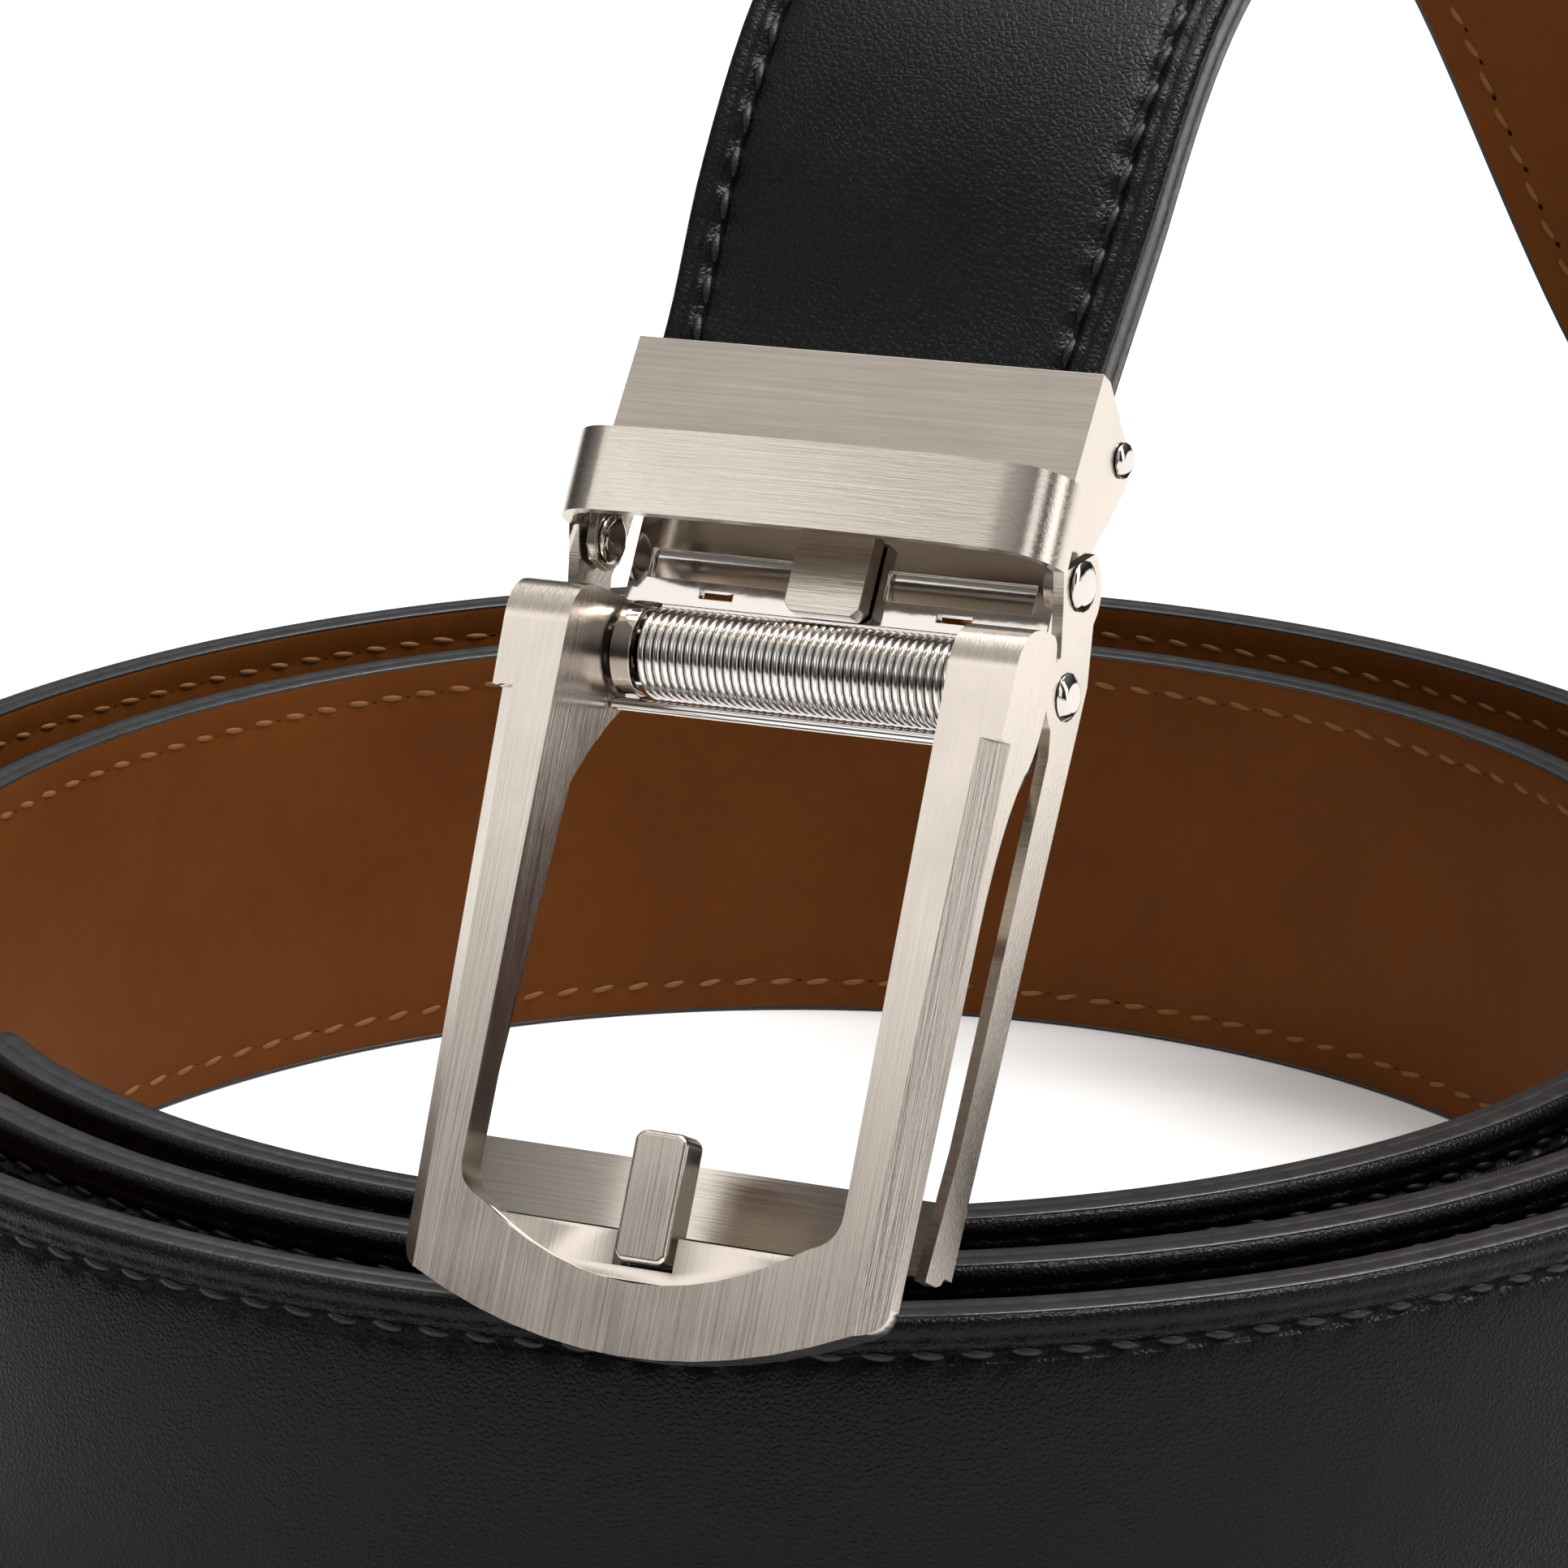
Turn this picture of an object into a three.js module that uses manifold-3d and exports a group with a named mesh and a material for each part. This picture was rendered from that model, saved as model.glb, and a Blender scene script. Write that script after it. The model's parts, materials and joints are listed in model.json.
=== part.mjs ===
// Ratchet belt, coiled on its edge, with its buckle end rising over an arch and hanging in front.
// Millimetres, +Z up. The strap is swept along one route, from the clamp to the tail's tip, and the
// buckle's pieces are built in their own upright frames and placed by nested groups.
import * as THREE from 'three';
import { mergeVertices } from 'three/addons/utils/BufferGeometryUtils.js';
import Module from 'manifold-3d';

const wasm = await Module();
wasm.setup();

// Driving dimensions of the strap
const strapWidth = 35;
const faceThickness = 2;
const faceCrown = 0.9;
const grooveDepth = 0.3;
const liningThickness = 1.3;
const liningInset = 0.2;
const bondGap = 0.1;
const coilRadius = 70;
const archRise = 51.737;
const clampedStrapWidth = 34;
const neckStraight = 2;
const neckLength = 14;
const tailRounding = 9;
const tailNarrowing = 0.3;

// Driving dimensions of the toothed track
const trackWidth = 12;
const trackBase = 0.9;
const toothHeight = 0.8;
const toothPitch = 6.35;
const toothCount = 28;
const trackTailMargin = 12;

// Driving dimensions of the clamp
const clampWall = 0.7;
const clampHeight = 10.1;
const clampTop = 14.1;
const strapEndInset = 1.2;
const strapEndGap = 0.7;
const stopBarHeight = 0.9;
const sideChamfer = 1.2;
const sideRim = 0.3;
const lugRim = 0.9;
const strapSideClearance = 0.2;
const clampFrontGap = 0.2;
const clampPinRadius = 0.6;
const clampPinHeadRadius = 1.25;
const clampPinHeight = 10.4;
const jawThickness = 0.9;
const jawToothHeight = 0.6;
const jawToothCount = 5;
const jawToothLean = 0.25;
const jawSideClearance = 0.3;
const jawBite = 0.3;

// Driving dimensions of the chassis: keeper loop, ears, flanges and crossbar
const chassisWall = 0.8;
const sideClearance = 0.3;
const loopHeight = 6;
const loopWall = 0.85;
const tailPassage = 4;
const loopCornerRadius = 3.4;
const loopBow = 0.5;
const hingeDrop = 7.3;
const hingeSetback = 1.4;
const hingeEarRadius = 3;
const swivelEarRadius = 2.7;
const flangeDepth = 2.9;
const flangeStep = 0.8;
const flangeToe = 9;
const chassisLength = 47.6;
const crossbarHeight = 4.9;
const crossbarThickness = 1.2;
const crossbarLift = 0.8;
const swivelPinRadius = 1.1;
const swivelHeadRadius = 1.75;
const rivetHeadHeight = 0.5;
const domeFlat = 0.6;
const domeRim = 0.35;
const headSeat = 0.06;
const runningClearance = 0.09;
const backPlateTop = 3.2;
const backPlateHeight = 6.9;
const backPlateRim = 0.7;
const backPlateThickness = 0.8;
const backWindowDepth = 0.5;
const backWindowWidth = 11.2;
const backWindowHeight = 2;
const backWindowDrop = 3;
const backSlotWidth = 2.6;
const backSlotHeight = 0.6;
const postWidth = 5.8;
const postTop = 2.2;
const postHeight = 5.9;
const postThickness = 1.5;
const postChamfer = 0.6;

// Driving dimensions of the front frame
const frameFaceHeight = 9;
const frameThickness = 2.6;
const frameTopHalfWidth = 19.6;
const frameBottomHalfWidth = 18.4;
const windowHalfWidth = 14.5;
const windowLength = 38.8;
const windowSagitta = 4.3;
const windowCornerRadius = 2;
const frameCornerDrop = 5.2;
const frameBottomSagitta = 4;
const frameCornerRadius = 1.6;
const cornerDip = 0.3;
const curlRise = 3.2;
const curlReach = 17;
const curlFrontRound = 3.4;
const curlWall = 1.3;
const plateClearance = 0.5;
const shoulderDrop = 4.8;
const bevelWidth = 1.7;
const bevelDepth = 1.5;
const ledgeRecess = 1;
const ledgeThickness = 1.3;
const ledgeDrop = 1.2;
const frameTiltDegrees = 4.5;
const prongWidth = 4;
const prongHeight = 8.8;
const prongThickness = 2.6;
const prongSeat = 0.3;
const prongRecess = 0.2;
const prongRound = 0.5;
const notchDepth = 2.3;

// Driving dimensions of the hinge pin and its spring
const hingePinRadius = 1.2;
const hingeHeadRadius = 1.7;
const springRadius = 3.2;
const springWire = 0.55;
const springTurns = 42;
const springLength = 26.4;
const springSeat = 0.3;
const springGap = 0.2;
const earSheet = 0.5;
const earWidth = 1.5;
const springBarRadius = 0.45;

// How the buckle hangs
const buckleYawDegrees = 29;
const buckleRollDegrees = 2.75;
const chassisLeanDegrees = 32;
const clampLeanDegrees = 38;
const footClearance = 5.896;

// How far a cutting solid runs past what it cuts, and how deep fused walls run into each other
const overcut = 1;
const fuse = 0.1;

// What follows from the sizes
const clampInnerHalf = clampedStrapWidth / 2 + strapSideClearance;
const clampOuterHalf = clampInnerHalf + clampWall;
const chassisInnerHalf = clampOuterHalf + sideClearance;
const chassisOuterHalf = chassisInnerHalf + chassisWall;
const strapFront = bondGap / 2 + faceThickness;
const strapBack = bondGap / 2 + liningThickness;
const clampInnerFront = strapFront + clampFrontGap;
const clampFront = clampInnerFront + clampWall;
const loopInnerFront = clampFront + tailPassage;
const loopFront = loopInnerFront + loopWall;
const loopRear = clampFront - lugRim / 2;
const frameEarOuter = chassisInnerHalf - sideClearance;

// Materials
const blackLeather = new THREE.MeshStandardMaterial({ color: 0x17171a, roughness: 0.5, metalness: 0 });
const brownLeather = new THREE.MeshStandardMaterial({ color: 0x6b3714, roughness: 0.65, metalness: 0 });
const blackPlastic = new THREE.MeshStandardMaterial({ color: 0x1c1c1e, roughness: 0.45, metalness: 0 });
const brushedNickel = new THREE.MeshStandardMaterial({ color: 0xb7aca0, roughness: 0.35, metalness: 1 });
const polishedNickel = new THREE.MeshStandardMaterial({ color: 0xa39c94, roughness: 0.12, metalness: 1 });
const springSteel = new THREE.MeshStandardMaterial({ color: 0xbfb9b2, roughness: 0.18, metalness: 1 });

// Solids for cutting and joining

function toManifold(geometry) {
  if (geometry.userData.solid) {
    return geometry.userData.solid;
  }
  const plain = geometry.clone();
  plain.deleteAttribute('normal');
  plain.deleteAttribute('uv');
  const merged = mergeVertices(plain, 1e-4);
  const vertProperties = new Float32Array(merged.attributes.position.array);
  const triVerts = new Uint32Array(merged.index.array);
  return new wasm.Manifold(new wasm.Mesh({ numProp: 3, vertProperties, triVerts }));
}

function toGeometry(solid) {
  const mesh = solid.getMesh();
  const geometry = new THREE.BufferGeometry();
  geometry.setAttribute('position', new THREE.BufferAttribute(new Float32Array(mesh.vertProperties), 3));
  geometry.setIndex(new THREE.BufferAttribute(new Uint32Array(mesh.triVerts), 1));
  geometry.userData.solid = solid;
  return geometry;
}

function joined(...geometries) {
  return toGeometry(geometries.map(toManifold).reduce((sum, next) => sum.add(next)));
}

function cut(geometry, ...tools) {
  const solid = toManifold(geometry);
  return toGeometry(tools.map(toManifold).reduce((rest, tool) => rest.subtract(tool), solid));
}

function common(first, second) {
  return toGeometry(toManifold(first).intersect(toManifold(second)));
}

// Shape helpers: an outline is extruded along X, Y or Z between two places

function outlineOf(points) {
  return new THREE.Shape(points.map(([a, b]) => new THREE.Vector2(a, b)));
}

function extruded(shape, from, to, curveSegments = 8) {
  const geometry = new THREE.ExtrudeGeometry(shape, { depth: to - from, bevelEnabled: false, curveSegments });
  geometry.translate(0, 0, from);
  return geometry;
}

// The outline is drawn in (y, z) and extruded along X
function alongX(shape, from, to, curveSegments) {
  const turn = new THREE.Matrix4().set(0, 0, 1, 0, 1, 0, 0, 0, 0, 1, 0, 0, 0, 0, 0, 1);
  return extruded(shape, from, to, curveSegments).applyMatrix4(turn);
}

// The outline is drawn in (z, x) and extruded along Y
function alongY(shape, from, to, curveSegments) {
  const turn = new THREE.Matrix4().set(0, 1, 0, 0, 0, 0, 1, 0, 1, 0, 0, 0, 0, 0, 0, 1);
  return extruded(shape, from, to, curveSegments).applyMatrix4(turn);
}

function box(xFrom, xTo, yFrom, yTo, zFrom, zTo) {
  const geometry = new THREE.BoxGeometry(xTo - xFrom, yTo - yFrom, zTo - zFrom);
  geometry.translate((xFrom + xTo) / 2, (yFrom + yTo) / 2, (zFrom + zTo) / 2);
  return geometry;
}

function rodAlongX(radius, from, to, y, z, sides = 16) {
  const geometry = new THREE.CylinderGeometry(radius, radius, to - from, sides);
  geometry.rotateZ(-Math.PI / 2);
  geometry.translate((from + to) / 2, y, z);
  return geometry;
}

// A turned pin along X from a profile of (x, radius) rows that starts and ends on the axis
function turnedAlongX(rows, sides = 16) {
  const profile = rows.map(([x, radius]) => new THREE.Vector2(radius, x));
  const geometry = new THREE.LatheGeometry(profile, sides);
  geometry.rotateZ(-Math.PI / 2);
  return geometry;
}

// The strap's route

// Radius of the turns as a share of coilRadius, against the angle travelled clockwise past the near side
const turnTable = [
  { turned: -45, radius: 1.252 },
  { turned: 0, radius: 1.246 },
  { turned: 90, radius: 1.205 },
  { turned: 180, radius: 1.222 },
  { turned: 270, radius: 1.155 },
  { turned: 360, radius: 1.119 },
  { turned: 450, radius: 1.062 },
  { turned: 540, radius: 1.004 },
  { turned: 630, radius: 1.002 },
  { turned: 720, radius: 1 },
  { turned: 800, radius: 0.994 },
];

// The arch from the clamp to the outer turn: x and y as shares of coilRadius, z as a share of the rise
// from the coil's mid height to archTop, and the strap's width axis there
const archTable = [
  { x: 0.18, y: -0.585, rise: 0.836, across: [0.92, -0.38, 0.04] },
  { x: 0.375, y: -0.19, rise: 0.952, across: [0.97, -0.22, 0.03] },
  { x: 0.566, y: 0.18, rise: 1, across: [0.95, -0.29, 0.1] },
  { x: 0.766, y: 0.536, rise: 0.91, across: [0.9, -0.33, 0.27] },
  { x: 0.943, y: 0.766, rise: 0.74, across: [0.86, -0.25, 0.44] },
  { x: 1.121, y: 0.736, rise: 0.5, across: [0.75, -0.3, 0.59] },
  { x: 1.307, y: 0.52, rise: 0.285, across: [0.5, -0.4, 0.77] },
  { x: 1.371, y: 0.143, rise: 0.135, across: [0.2, -0.3, 0.93] },
  { x: 1.321, y: -0.25, rise: 0.05, across: [0.05, -0.15, 0.99] },
  { x: 1.186, y: -0.55, rise: 0.01, across: [0, -0.02, 1] },
  { x: 1.0, y: -0.793, rise: 0, across: [0, 0, 1] },
];

const midHeight = strapWidth / 2;
const coilStartAngle = -37.5;
const tailAngle = 795;
const coilStep = 7.5;
const archSamples = 4;

// Where the swivel axis hangs: in front of the outer turn, as shares of coilRadius, and so high that
// the chassis's foot passes over the strap's edge
const chassisDrop = chassisLength * Math.cos(THREE.MathUtils.degToRad(chassisLeanDegrees));
const swivelPlace = new THREE.Vector3(
  0.013 * coilRadius,
  -0.963 * coilRadius,
  strapWidth + footClearance + chassisDrop);
const archTop = swivelPlace.z + archRise;

// A smooth value between the rows of a table, by cubic steps through the neighbours
function smoothRow(rows, key, field, value) {
  let index = 0;
  while (index < rows.length - 2 && value > rows[index + 1][key]) {
    index += 1;
  }
  const a = rows[Math.max(index - 1, 0)];
  const b = rows[index];
  const c = rows[index + 1];
  const d = rows[Math.min(index + 2, rows.length - 1)];
  const span = c[key] - b[key];
  const t = (value - b[key]) / span;
  const slopeB = a === b ? (c[field] - b[field]) / span : (c[field] - a[field]) / (c[key] - a[key]);
  const slopeC = d === c ? (c[field] - b[field]) / span : (d[field] - b[field]) / (d[key] - b[key]);
  const h00 = 2 * t ** 3 - 3 * t ** 2 + 1;
  const h10 = t ** 3 - 2 * t ** 2 + t;
  const h01 = -2 * t ** 3 + 3 * t ** 2;
  const h11 = t ** 3 - t ** 2;
  return h00 * b[field] + h10 * span * slopeB + h01 * c[field] + h11 * span * slopeC;
}

function coilPoint(turned) {
  const radius = coilRadius * smoothRow(turnTable, 'turned', 'radius', turned);
  const angle = THREE.MathUtils.degToRad(-90 - turned);
  return new THREE.Vector3(radius * Math.cos(angle), radius * Math.sin(angle), midHeight);
}

// The turn of a hanging piece whose X runs across the buckle and whose Y leans back by an angle
function hangingTurn(leanDegrees) {
  return new THREE.Euler(
    Math.PI / 2 - THREE.MathUtils.degToRad(leanDegrees),
    -THREE.MathUtils.degToRad(buckleRollDegrees),
    -THREE.MathUtils.degToRad(buckleYawDegrees),
    'ZYX');
}

const clampAcross = new THREE.Vector3(1, 0, 0).applyEuler(hangingTurn(clampLeanDegrees));
const clampUp = new THREE.Vector3(0, 1, 0).applyEuler(hangingTurn(clampLeanDegrees));

// The strap's end sits this far above the swivel axis, and leaves the clamp at its top
const strapEndRise = clampTop - clampHeight + strapEndInset;
const neckRise = clampTop + neckStraight;

function clampPoint(rise) {
  return swivelPlace.clone().addScaledVector(clampUp, rise);
}

// Stations along the strap: place, direction of travel, width axis, width and crown shares
function strapStations() {
  const up = new THREE.Vector3(0, 0, 1);
  const controls = [
    { place: clampPoint(strapEndRise), across: clampAcross },
    { place: clampPoint(neckRise), across: clampAcross },
  ];
  for (const row of archTable) {
    const z = midHeight + row.rise * (archTop - midHeight);
    const place = new THREE.Vector3(row.x * coilRadius, row.y * coilRadius, z);
    controls.push({ place, across: new THREE.Vector3(...row.across).normalize() });
  }
  const archEnd = controls.length;
  for (let turned = coilStartAngle; turned <= tailAngle; turned += 2 * coilStep) {
    controls.push({ place: coilPoint(turned), across: up });
  }
  const route = new THREE.CatmullRomCurve3(controls.map((c) => c.place), false, 'centripetal');
  const widthRoute = new THREE.CatmullRomCurve3(controls.map((c) => c.across), false, 'catmullrom');
  const last = controls.length - 1;
  const stations = [];
  for (let index = 0; index < last; index += 1) {
    const samples = index < archEnd ? archSamples : 2;
    for (let step = 0; step < samples; step += 1) {
      stations.push((index + step / samples) / last);
    }
  }
  stations.push(1);
  const built = stations.map((t) => {
    const place = route.getPoint(t);
    place.z = Math.max(place.z, midHeight);
    const travel = route.getTangent(t);
    const across = widthRoute.getPoint(t);
    across.addScaledVector(travel, -across.dot(travel)).normalize();
    const out = new THREE.Vector3().crossVectors(across, travel).normalize();
    return { place, travel, across, out, length: 0 };
  });
  for (let index = 1; index < built.length; index += 1) {
    const previous = built[index - 1];
    built[index].length = previous.length + built[index].place.distanceTo(previous.place);
  }
  return built;
}

const stations = strapStations();
const strapLength = stations[stations.length - 1].length;

// A closed sweep of one section per station: rows of (across, out) places, all of the same count.
// On a twisting strap two pieces lie flat on each other only if their faces are split the same way.
function swept(rings, sectionTriangles, splitBack) {
  const count = rings[0].length;
  const positions = [];
  for (const ring of rings) {
    for (const point of ring) {
      positions.push(point.x, point.y, point.z);
    }
  }
  const index = [];
  for (let ring = 0; ring < rings.length - 1; ring += 1) {
    for (let side = 0; side < count; side += 1) {
      const a = ring * count + side;
      const b = ring * count + ((side + 1) % count);
      if (splitBack) {
        index.push(a, a + count, b, b, a + count, b + count);
      } else {
        index.push(a, b + count, b, a, a + count, b + count);
      }
    }
  }
  const lastRing = (rings.length - 1) * count;
  for (const [a, b, c] of sectionTriangles) {
    index.push(a, b, c);
    index.push(c + lastRing, b + lastRing, a + lastRing);
  }
  const geometry = new THREE.BufferGeometry();
  geometry.setAttribute('position', new THREE.Float32BufferAttribute(positions, 3));
  geometry.setIndex(index);
  return geometry;
}

function sectionFaces(section) {
  return THREE.ShapeUtils.triangulateShape(section.map(([a, b]) => new THREE.Vector2(a, b)), []);
}

function sweptSection(places, sectionAt, splitBack = false) {
  const rings = places.map((station) => sectionAt(station).map(([across, out]) => station.place.clone()
    .addScaledVector(station.across, across)
    .addScaledVector(station.out, out)));
  return swept(rings, sectionFaces(sectionAt(places[Math.floor(places.length / 2)])), splitBack);
}

// The strap narrows and flattens towards the clamp, and its tail has rounded corners
function neckShare(length) {
  const start = clampTop - strapEndRise;
  return THREE.MathUtils.smoothstep(length, start, start + neckLength);
}

function halfWidthAt(length) {
  const neck = THREE.MathUtils.lerp(clampedStrapWidth, strapWidth, neckShare(length)) / 2;
  const toTip = Math.max(strapLength - length, 0);
  if (toTip >= tailRounding) {
    return neck;
  }
  const share = 1 - toTip / tailRounding;
  return neck * (1 - tailNarrowing * share ** 2);
}

// Half of the face's section, from the edge to the middle: share of the half width, share of the
// face's thickness, share of the crown, and share of the groove's depth
const faceTable = [
  { across: 1, thick: 0, crown: 0, groove: 0 },
  { across: 1, thick: 0.6, crown: 0, groove: 0 },
  { across: 0.97, thick: 1, crown: 0, groove: 0 },
  { across: 0.85, thick: 1, crown: 0, groove: 1 },
  { across: 0.76, thick: 1, crown: 0.35, groove: 0 },
  { across: 0.45, thick: 1, crown: 0.85, groove: 0 },
];

function faceSection(station) {
  const half = halfWidthAt(station.length);
  const crown = faceCrown * neckShare(station.length);
  const side = faceTable.map((row) => [
    row.across * half,
    bondGap / 2 + row.thick * faceThickness + row.crown * crown - row.groove * grooveDepth,
  ]);
  const middle = [0, bondGap / 2 + faceThickness + crown];
  const mirrored = side.map(([a, b]) => [-a, b]).reverse();
  return [...side, middle, ...mirrored];
}

function liningSection(station) {
  const half = halfWidthAt(station.length) - liningInset;
  return [
    [-half, -bondGap / 2],
    [-half, -strapBack],
    [half, -strapBack],
    [half, -bondGap / 2],
  ];
}

function strapFace() {
  return sweptSection(stations, faceSection);
}

function strapLining() {
  return sweptSection(stations, liningSection, true);
}

// A station at any length along the strap, between two built ones
function stationAt(length) {
  let index = 0;
  while (index < stations.length - 2 && length > stations[index + 1].length) {
    index += 1;
  }
  const a = stations[index];
  const b = stations[index + 1];
  const t = (length - a.length) / (b.length - a.length);
  return {
    place: a.place.clone().lerp(b.place, t),
    across: a.across.clone().lerp(b.across, t).normalize(),
    out: a.out.clone().lerp(b.out, t).normalize(),
    length,
  };
}

// The toothed strip on the lining near the tail: each tooth rises slowly and drops steeply
function ratchetTrack() {
  const end = strapLength - trackTailMargin;
  const start = end - toothPitch * toothCount;
  const top = -strapBack - bondGap;
  const dropShare = 0.88;
  const places = [];
  for (let tooth = 0; tooth < toothCount; tooth += 1) {
    const from = start + tooth * toothPitch;
    places.push({ ...stationAt(from), tall: 0 });
    places.push({ ...stationAt(from + dropShare * toothPitch), tall: toothHeight });
  }
  places.push({ ...stationAt(end), tall: 0 });
  return sweptSection(places, (station) => [
    [-trackWidth / 2, top],
    [-trackWidth / 2, top - trackBase - station.tall],
    [trackWidth / 2, top - trackBase - station.tall],
    [trackWidth / 2, top],
  ]);
}

// The clamp, in its own frame: X across, Y up along the strap, Z out of the face, origin on the swivel

const jawPinSetback = strapBack + jawBite + clampPinRadius * 2;
const sideRear = jawPinSetback + clampPinHeadRadius + sideRim;
const clampBottom = clampTop - clampHeight;

// The side wall as (up, out) places: a lug round the swivel pin below, a wider one round the jaw's pin
function clampSideOutline() {
  const lug = swivelPinRadius + lugRim;
  const pinLug = clampPinHeadRadius + sideRim;
  return outlineOf([
    [clampTop, clampFront],
    [clampTop, clampFront - sideChamfer],
    [clampPinHeight + pinLug, -jawPinSetback + clampPinRadius],
    [clampPinHeight + clampPinRadius, -sideRear],
    [clampPinHeight - pinLug, -sideRear],
    [clampBottom + pinLug, -jawPinSetback - sideRim],
    [clampBottom - sideChamfer, -lug],
    [-lug / 2, -lug],
    [-lug, -lug / 2],
    [-lug, lug / 2],
    [-lug / 2, lug],
    [clampBottom - sideChamfer, clampFront],
  ]);
}

function clampBox() {
  const front = box(-clampOuterHalf, clampOuterHalf, clampBottom, clampTop, clampInnerFront, clampFront);
  const right = alongX(clampSideOutline(), clampInnerHalf, clampOuterHalf);
  const left = alongX(clampSideOutline(), -clampOuterHalf, -clampInnerHalf);
  const stopBar = box(
    -clampOuterHalf, clampOuterHalf,
    strapEndRise - strapEndGap - stopBarHeight, strapEndRise - strapEndGap,
    0, clampInnerFront + fuse);
  const length = clampOuterHalf + overcut;
  const pinHole = rodAlongX(
    clampPinRadius + runningClearance, -length, length, clampPinHeight, -jawPinSetback);
  const swivelHole = rodAlongX(swivelPinRadius + runningClearance, -length, length, 0, 0);
  return cut(joined(front, right, left, stopBar), pinHole, swivelHole);
}

function clampJaw() {
  const half = clampInnerHalf - jawSideClearance;
  const knuckle = jawThickness / 2 + clampPinRadius + runningClearance;
  const plateFront = -strapBack - jawBite - jawToothHeight;
  const bottom = clampBottom + jawThickness;
  const toothTop = clampPinHeight - knuckle - jawToothHeight;
  const points = [[clampPinHeight, plateFront - jawThickness], [bottom, plateFront - jawThickness]];
  const pitch = (toothTop - bottom) / jawToothCount;
  for (let tooth = 0; tooth < jawToothCount; tooth += 1) {
    points.push([bottom + tooth * pitch, plateFront]);
    points.push([bottom + (tooth + jawToothLean) * pitch, plateFront + jawToothHeight]);
  }
  points.push([toothTop, plateFront]);
  points.push([clampPinHeight, plateFront]);
  const plate = alongX(outlineOf(points), -half, half);
  const barrel = rodAlongX(knuckle, -half, half, clampPinHeight, -jawPinSetback);
  const length = half + overcut;
  const hole = rodAlongX(
    clampPinRadius + runningClearance, -length, length, clampPinHeight, -jawPinSetback);
  return cut(joined(plate, barrel), hole);
}

// A riveted pin: a shaft with a low domed head at each end, from one face to the other
function headedPin(shaftRadius, headRadius, from, to) {
  return turnedAlongX([
    [from - rivetHeadHeight, 0],
    [from - rivetHeadHeight, headRadius * domeFlat],
    [from - rivetHeadHeight * domeRim, headRadius],
    [from, headRadius],
    [from, shaftRadius],
    [to, shaftRadius],
    [to, headRadius],
    [to + rivetHeadHeight * domeRim, headRadius],
    [to + rivetHeadHeight, headRadius * domeFlat],
    [to + rivetHeadHeight, 0],
  ]);
}

function clampPin() {
  const reach = clampOuterHalf + headSeat;
  const pin = headedPin(clampPinRadius, clampPinHeadRadius, -reach, reach);
  pin.translate(0, clampPinHeight, -jawPinSetback);
  return pin;
}

// The chassis, in its own frame: X across, Y up, Z out of the face, origin on the swivel axis

const crossbarBottom = -chassisLength + crossbarLift;
const flangeRear = -hingeSetback - hingeEarRadius + flangeStep;
const flangeFront = flangeRear + flangeDepth;

// The loop's ring in (z, x), with big round corners at the front and a slightly bowed front
function loopRing(half, front, rear, corner, bow) {
  const shape = new THREE.Shape();
  const side = front - bow - corner;
  shape.moveTo(rear, -half);
  shape.lineTo(rear, half);
  shape.lineTo(side, half);
  shape.absarc(side, half - corner, corner, Math.PI / 2, 0, true);
  shape.quadraticCurveTo(front + bow, 0, side + corner, -half + corner);
  shape.absarc(side, -half + corner, corner, 0, -Math.PI / 2, true);
  shape.closePath();
  return shape;
}

function flangeOutline() {
  const hingeY = -hingeDrop;
  const hingeZ = -hingeSetback;
  const half = hingeEarRadius / 2;
  const shape = new THREE.Shape();
  shape.moveTo(swivelPinRadius + lugRim, loopRear);
  shape.absarc(-lugRim / 2, 0, swivelEarRadius + lugRim / 2, -0.3, -2.0, true);
  shape.lineTo(hingeY + half, hingeZ - hingeEarRadius + flangeStep / 2);
  shape.lineTo(hingeY - half, hingeZ - hingeEarRadius + flangeStep / 2);
  shape.lineTo(-chassisLength + flangeToe, flangeRear);
  shape.quadraticCurveTo(-chassisLength, flangeRear, -chassisLength, flangeRear + flangeDepth - flangeStep);
  shape.lineTo(-chassisLength, flangeFront + flangeStep);
  shape.lineTo(-chassisLength + flangeToe, flangeFront);
  shape.lineTo(hingeY - hingeEarRadius - half, flangeFront);
  shape.absarc(hingeY, hingeZ, hingeEarRadius, Math.PI * 0.86, Math.PI * 0.25, true);
  shape.lineTo(-swivelPinRadius - lugRim, swivelPinRadius + lugRim);
  shape.lineTo(0, clampFront);
  shape.closePath();
  return shape;
}

function chassis() {
  const outer = loopRing(chassisOuterHalf, loopFront, loopRear, loopCornerRadius + loopWall, loopBow);
  const inner = loopRing(chassisInnerHalf, loopInnerFront, loopRear - overcut, loopCornerRadius, loopBow);
  const band = cut(alongY(outer, 0, loopHeight, 6), alongY(inner, -overcut, loopHeight + overcut, 6));
  const right = alongX(flangeOutline(), chassisInnerHalf, chassisOuterHalf, 6);
  const left = alongX(flangeOutline(), -chassisOuterHalf, -chassisInnerHalf, 6);
  const crossbar = box(
    -chassisOuterHalf, chassisOuterHalf,
    crossbarBottom, crossbarBottom + crossbarHeight,
    flangeRear, flangeRear + crossbarThickness);
  const length = chassisOuterHalf + overcut;
  const swivelHole = rodAlongX(swivelPinRadius + runningClearance, -length, length, 0, 0);
  const hingeHole = rodAlongX(hingePinRadius + runningClearance, -length, length, -hingeDrop, -hingeSetback);
  return cut(joined(band, right, left, crossbar), swivelHole, hingeHole);
}

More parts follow.
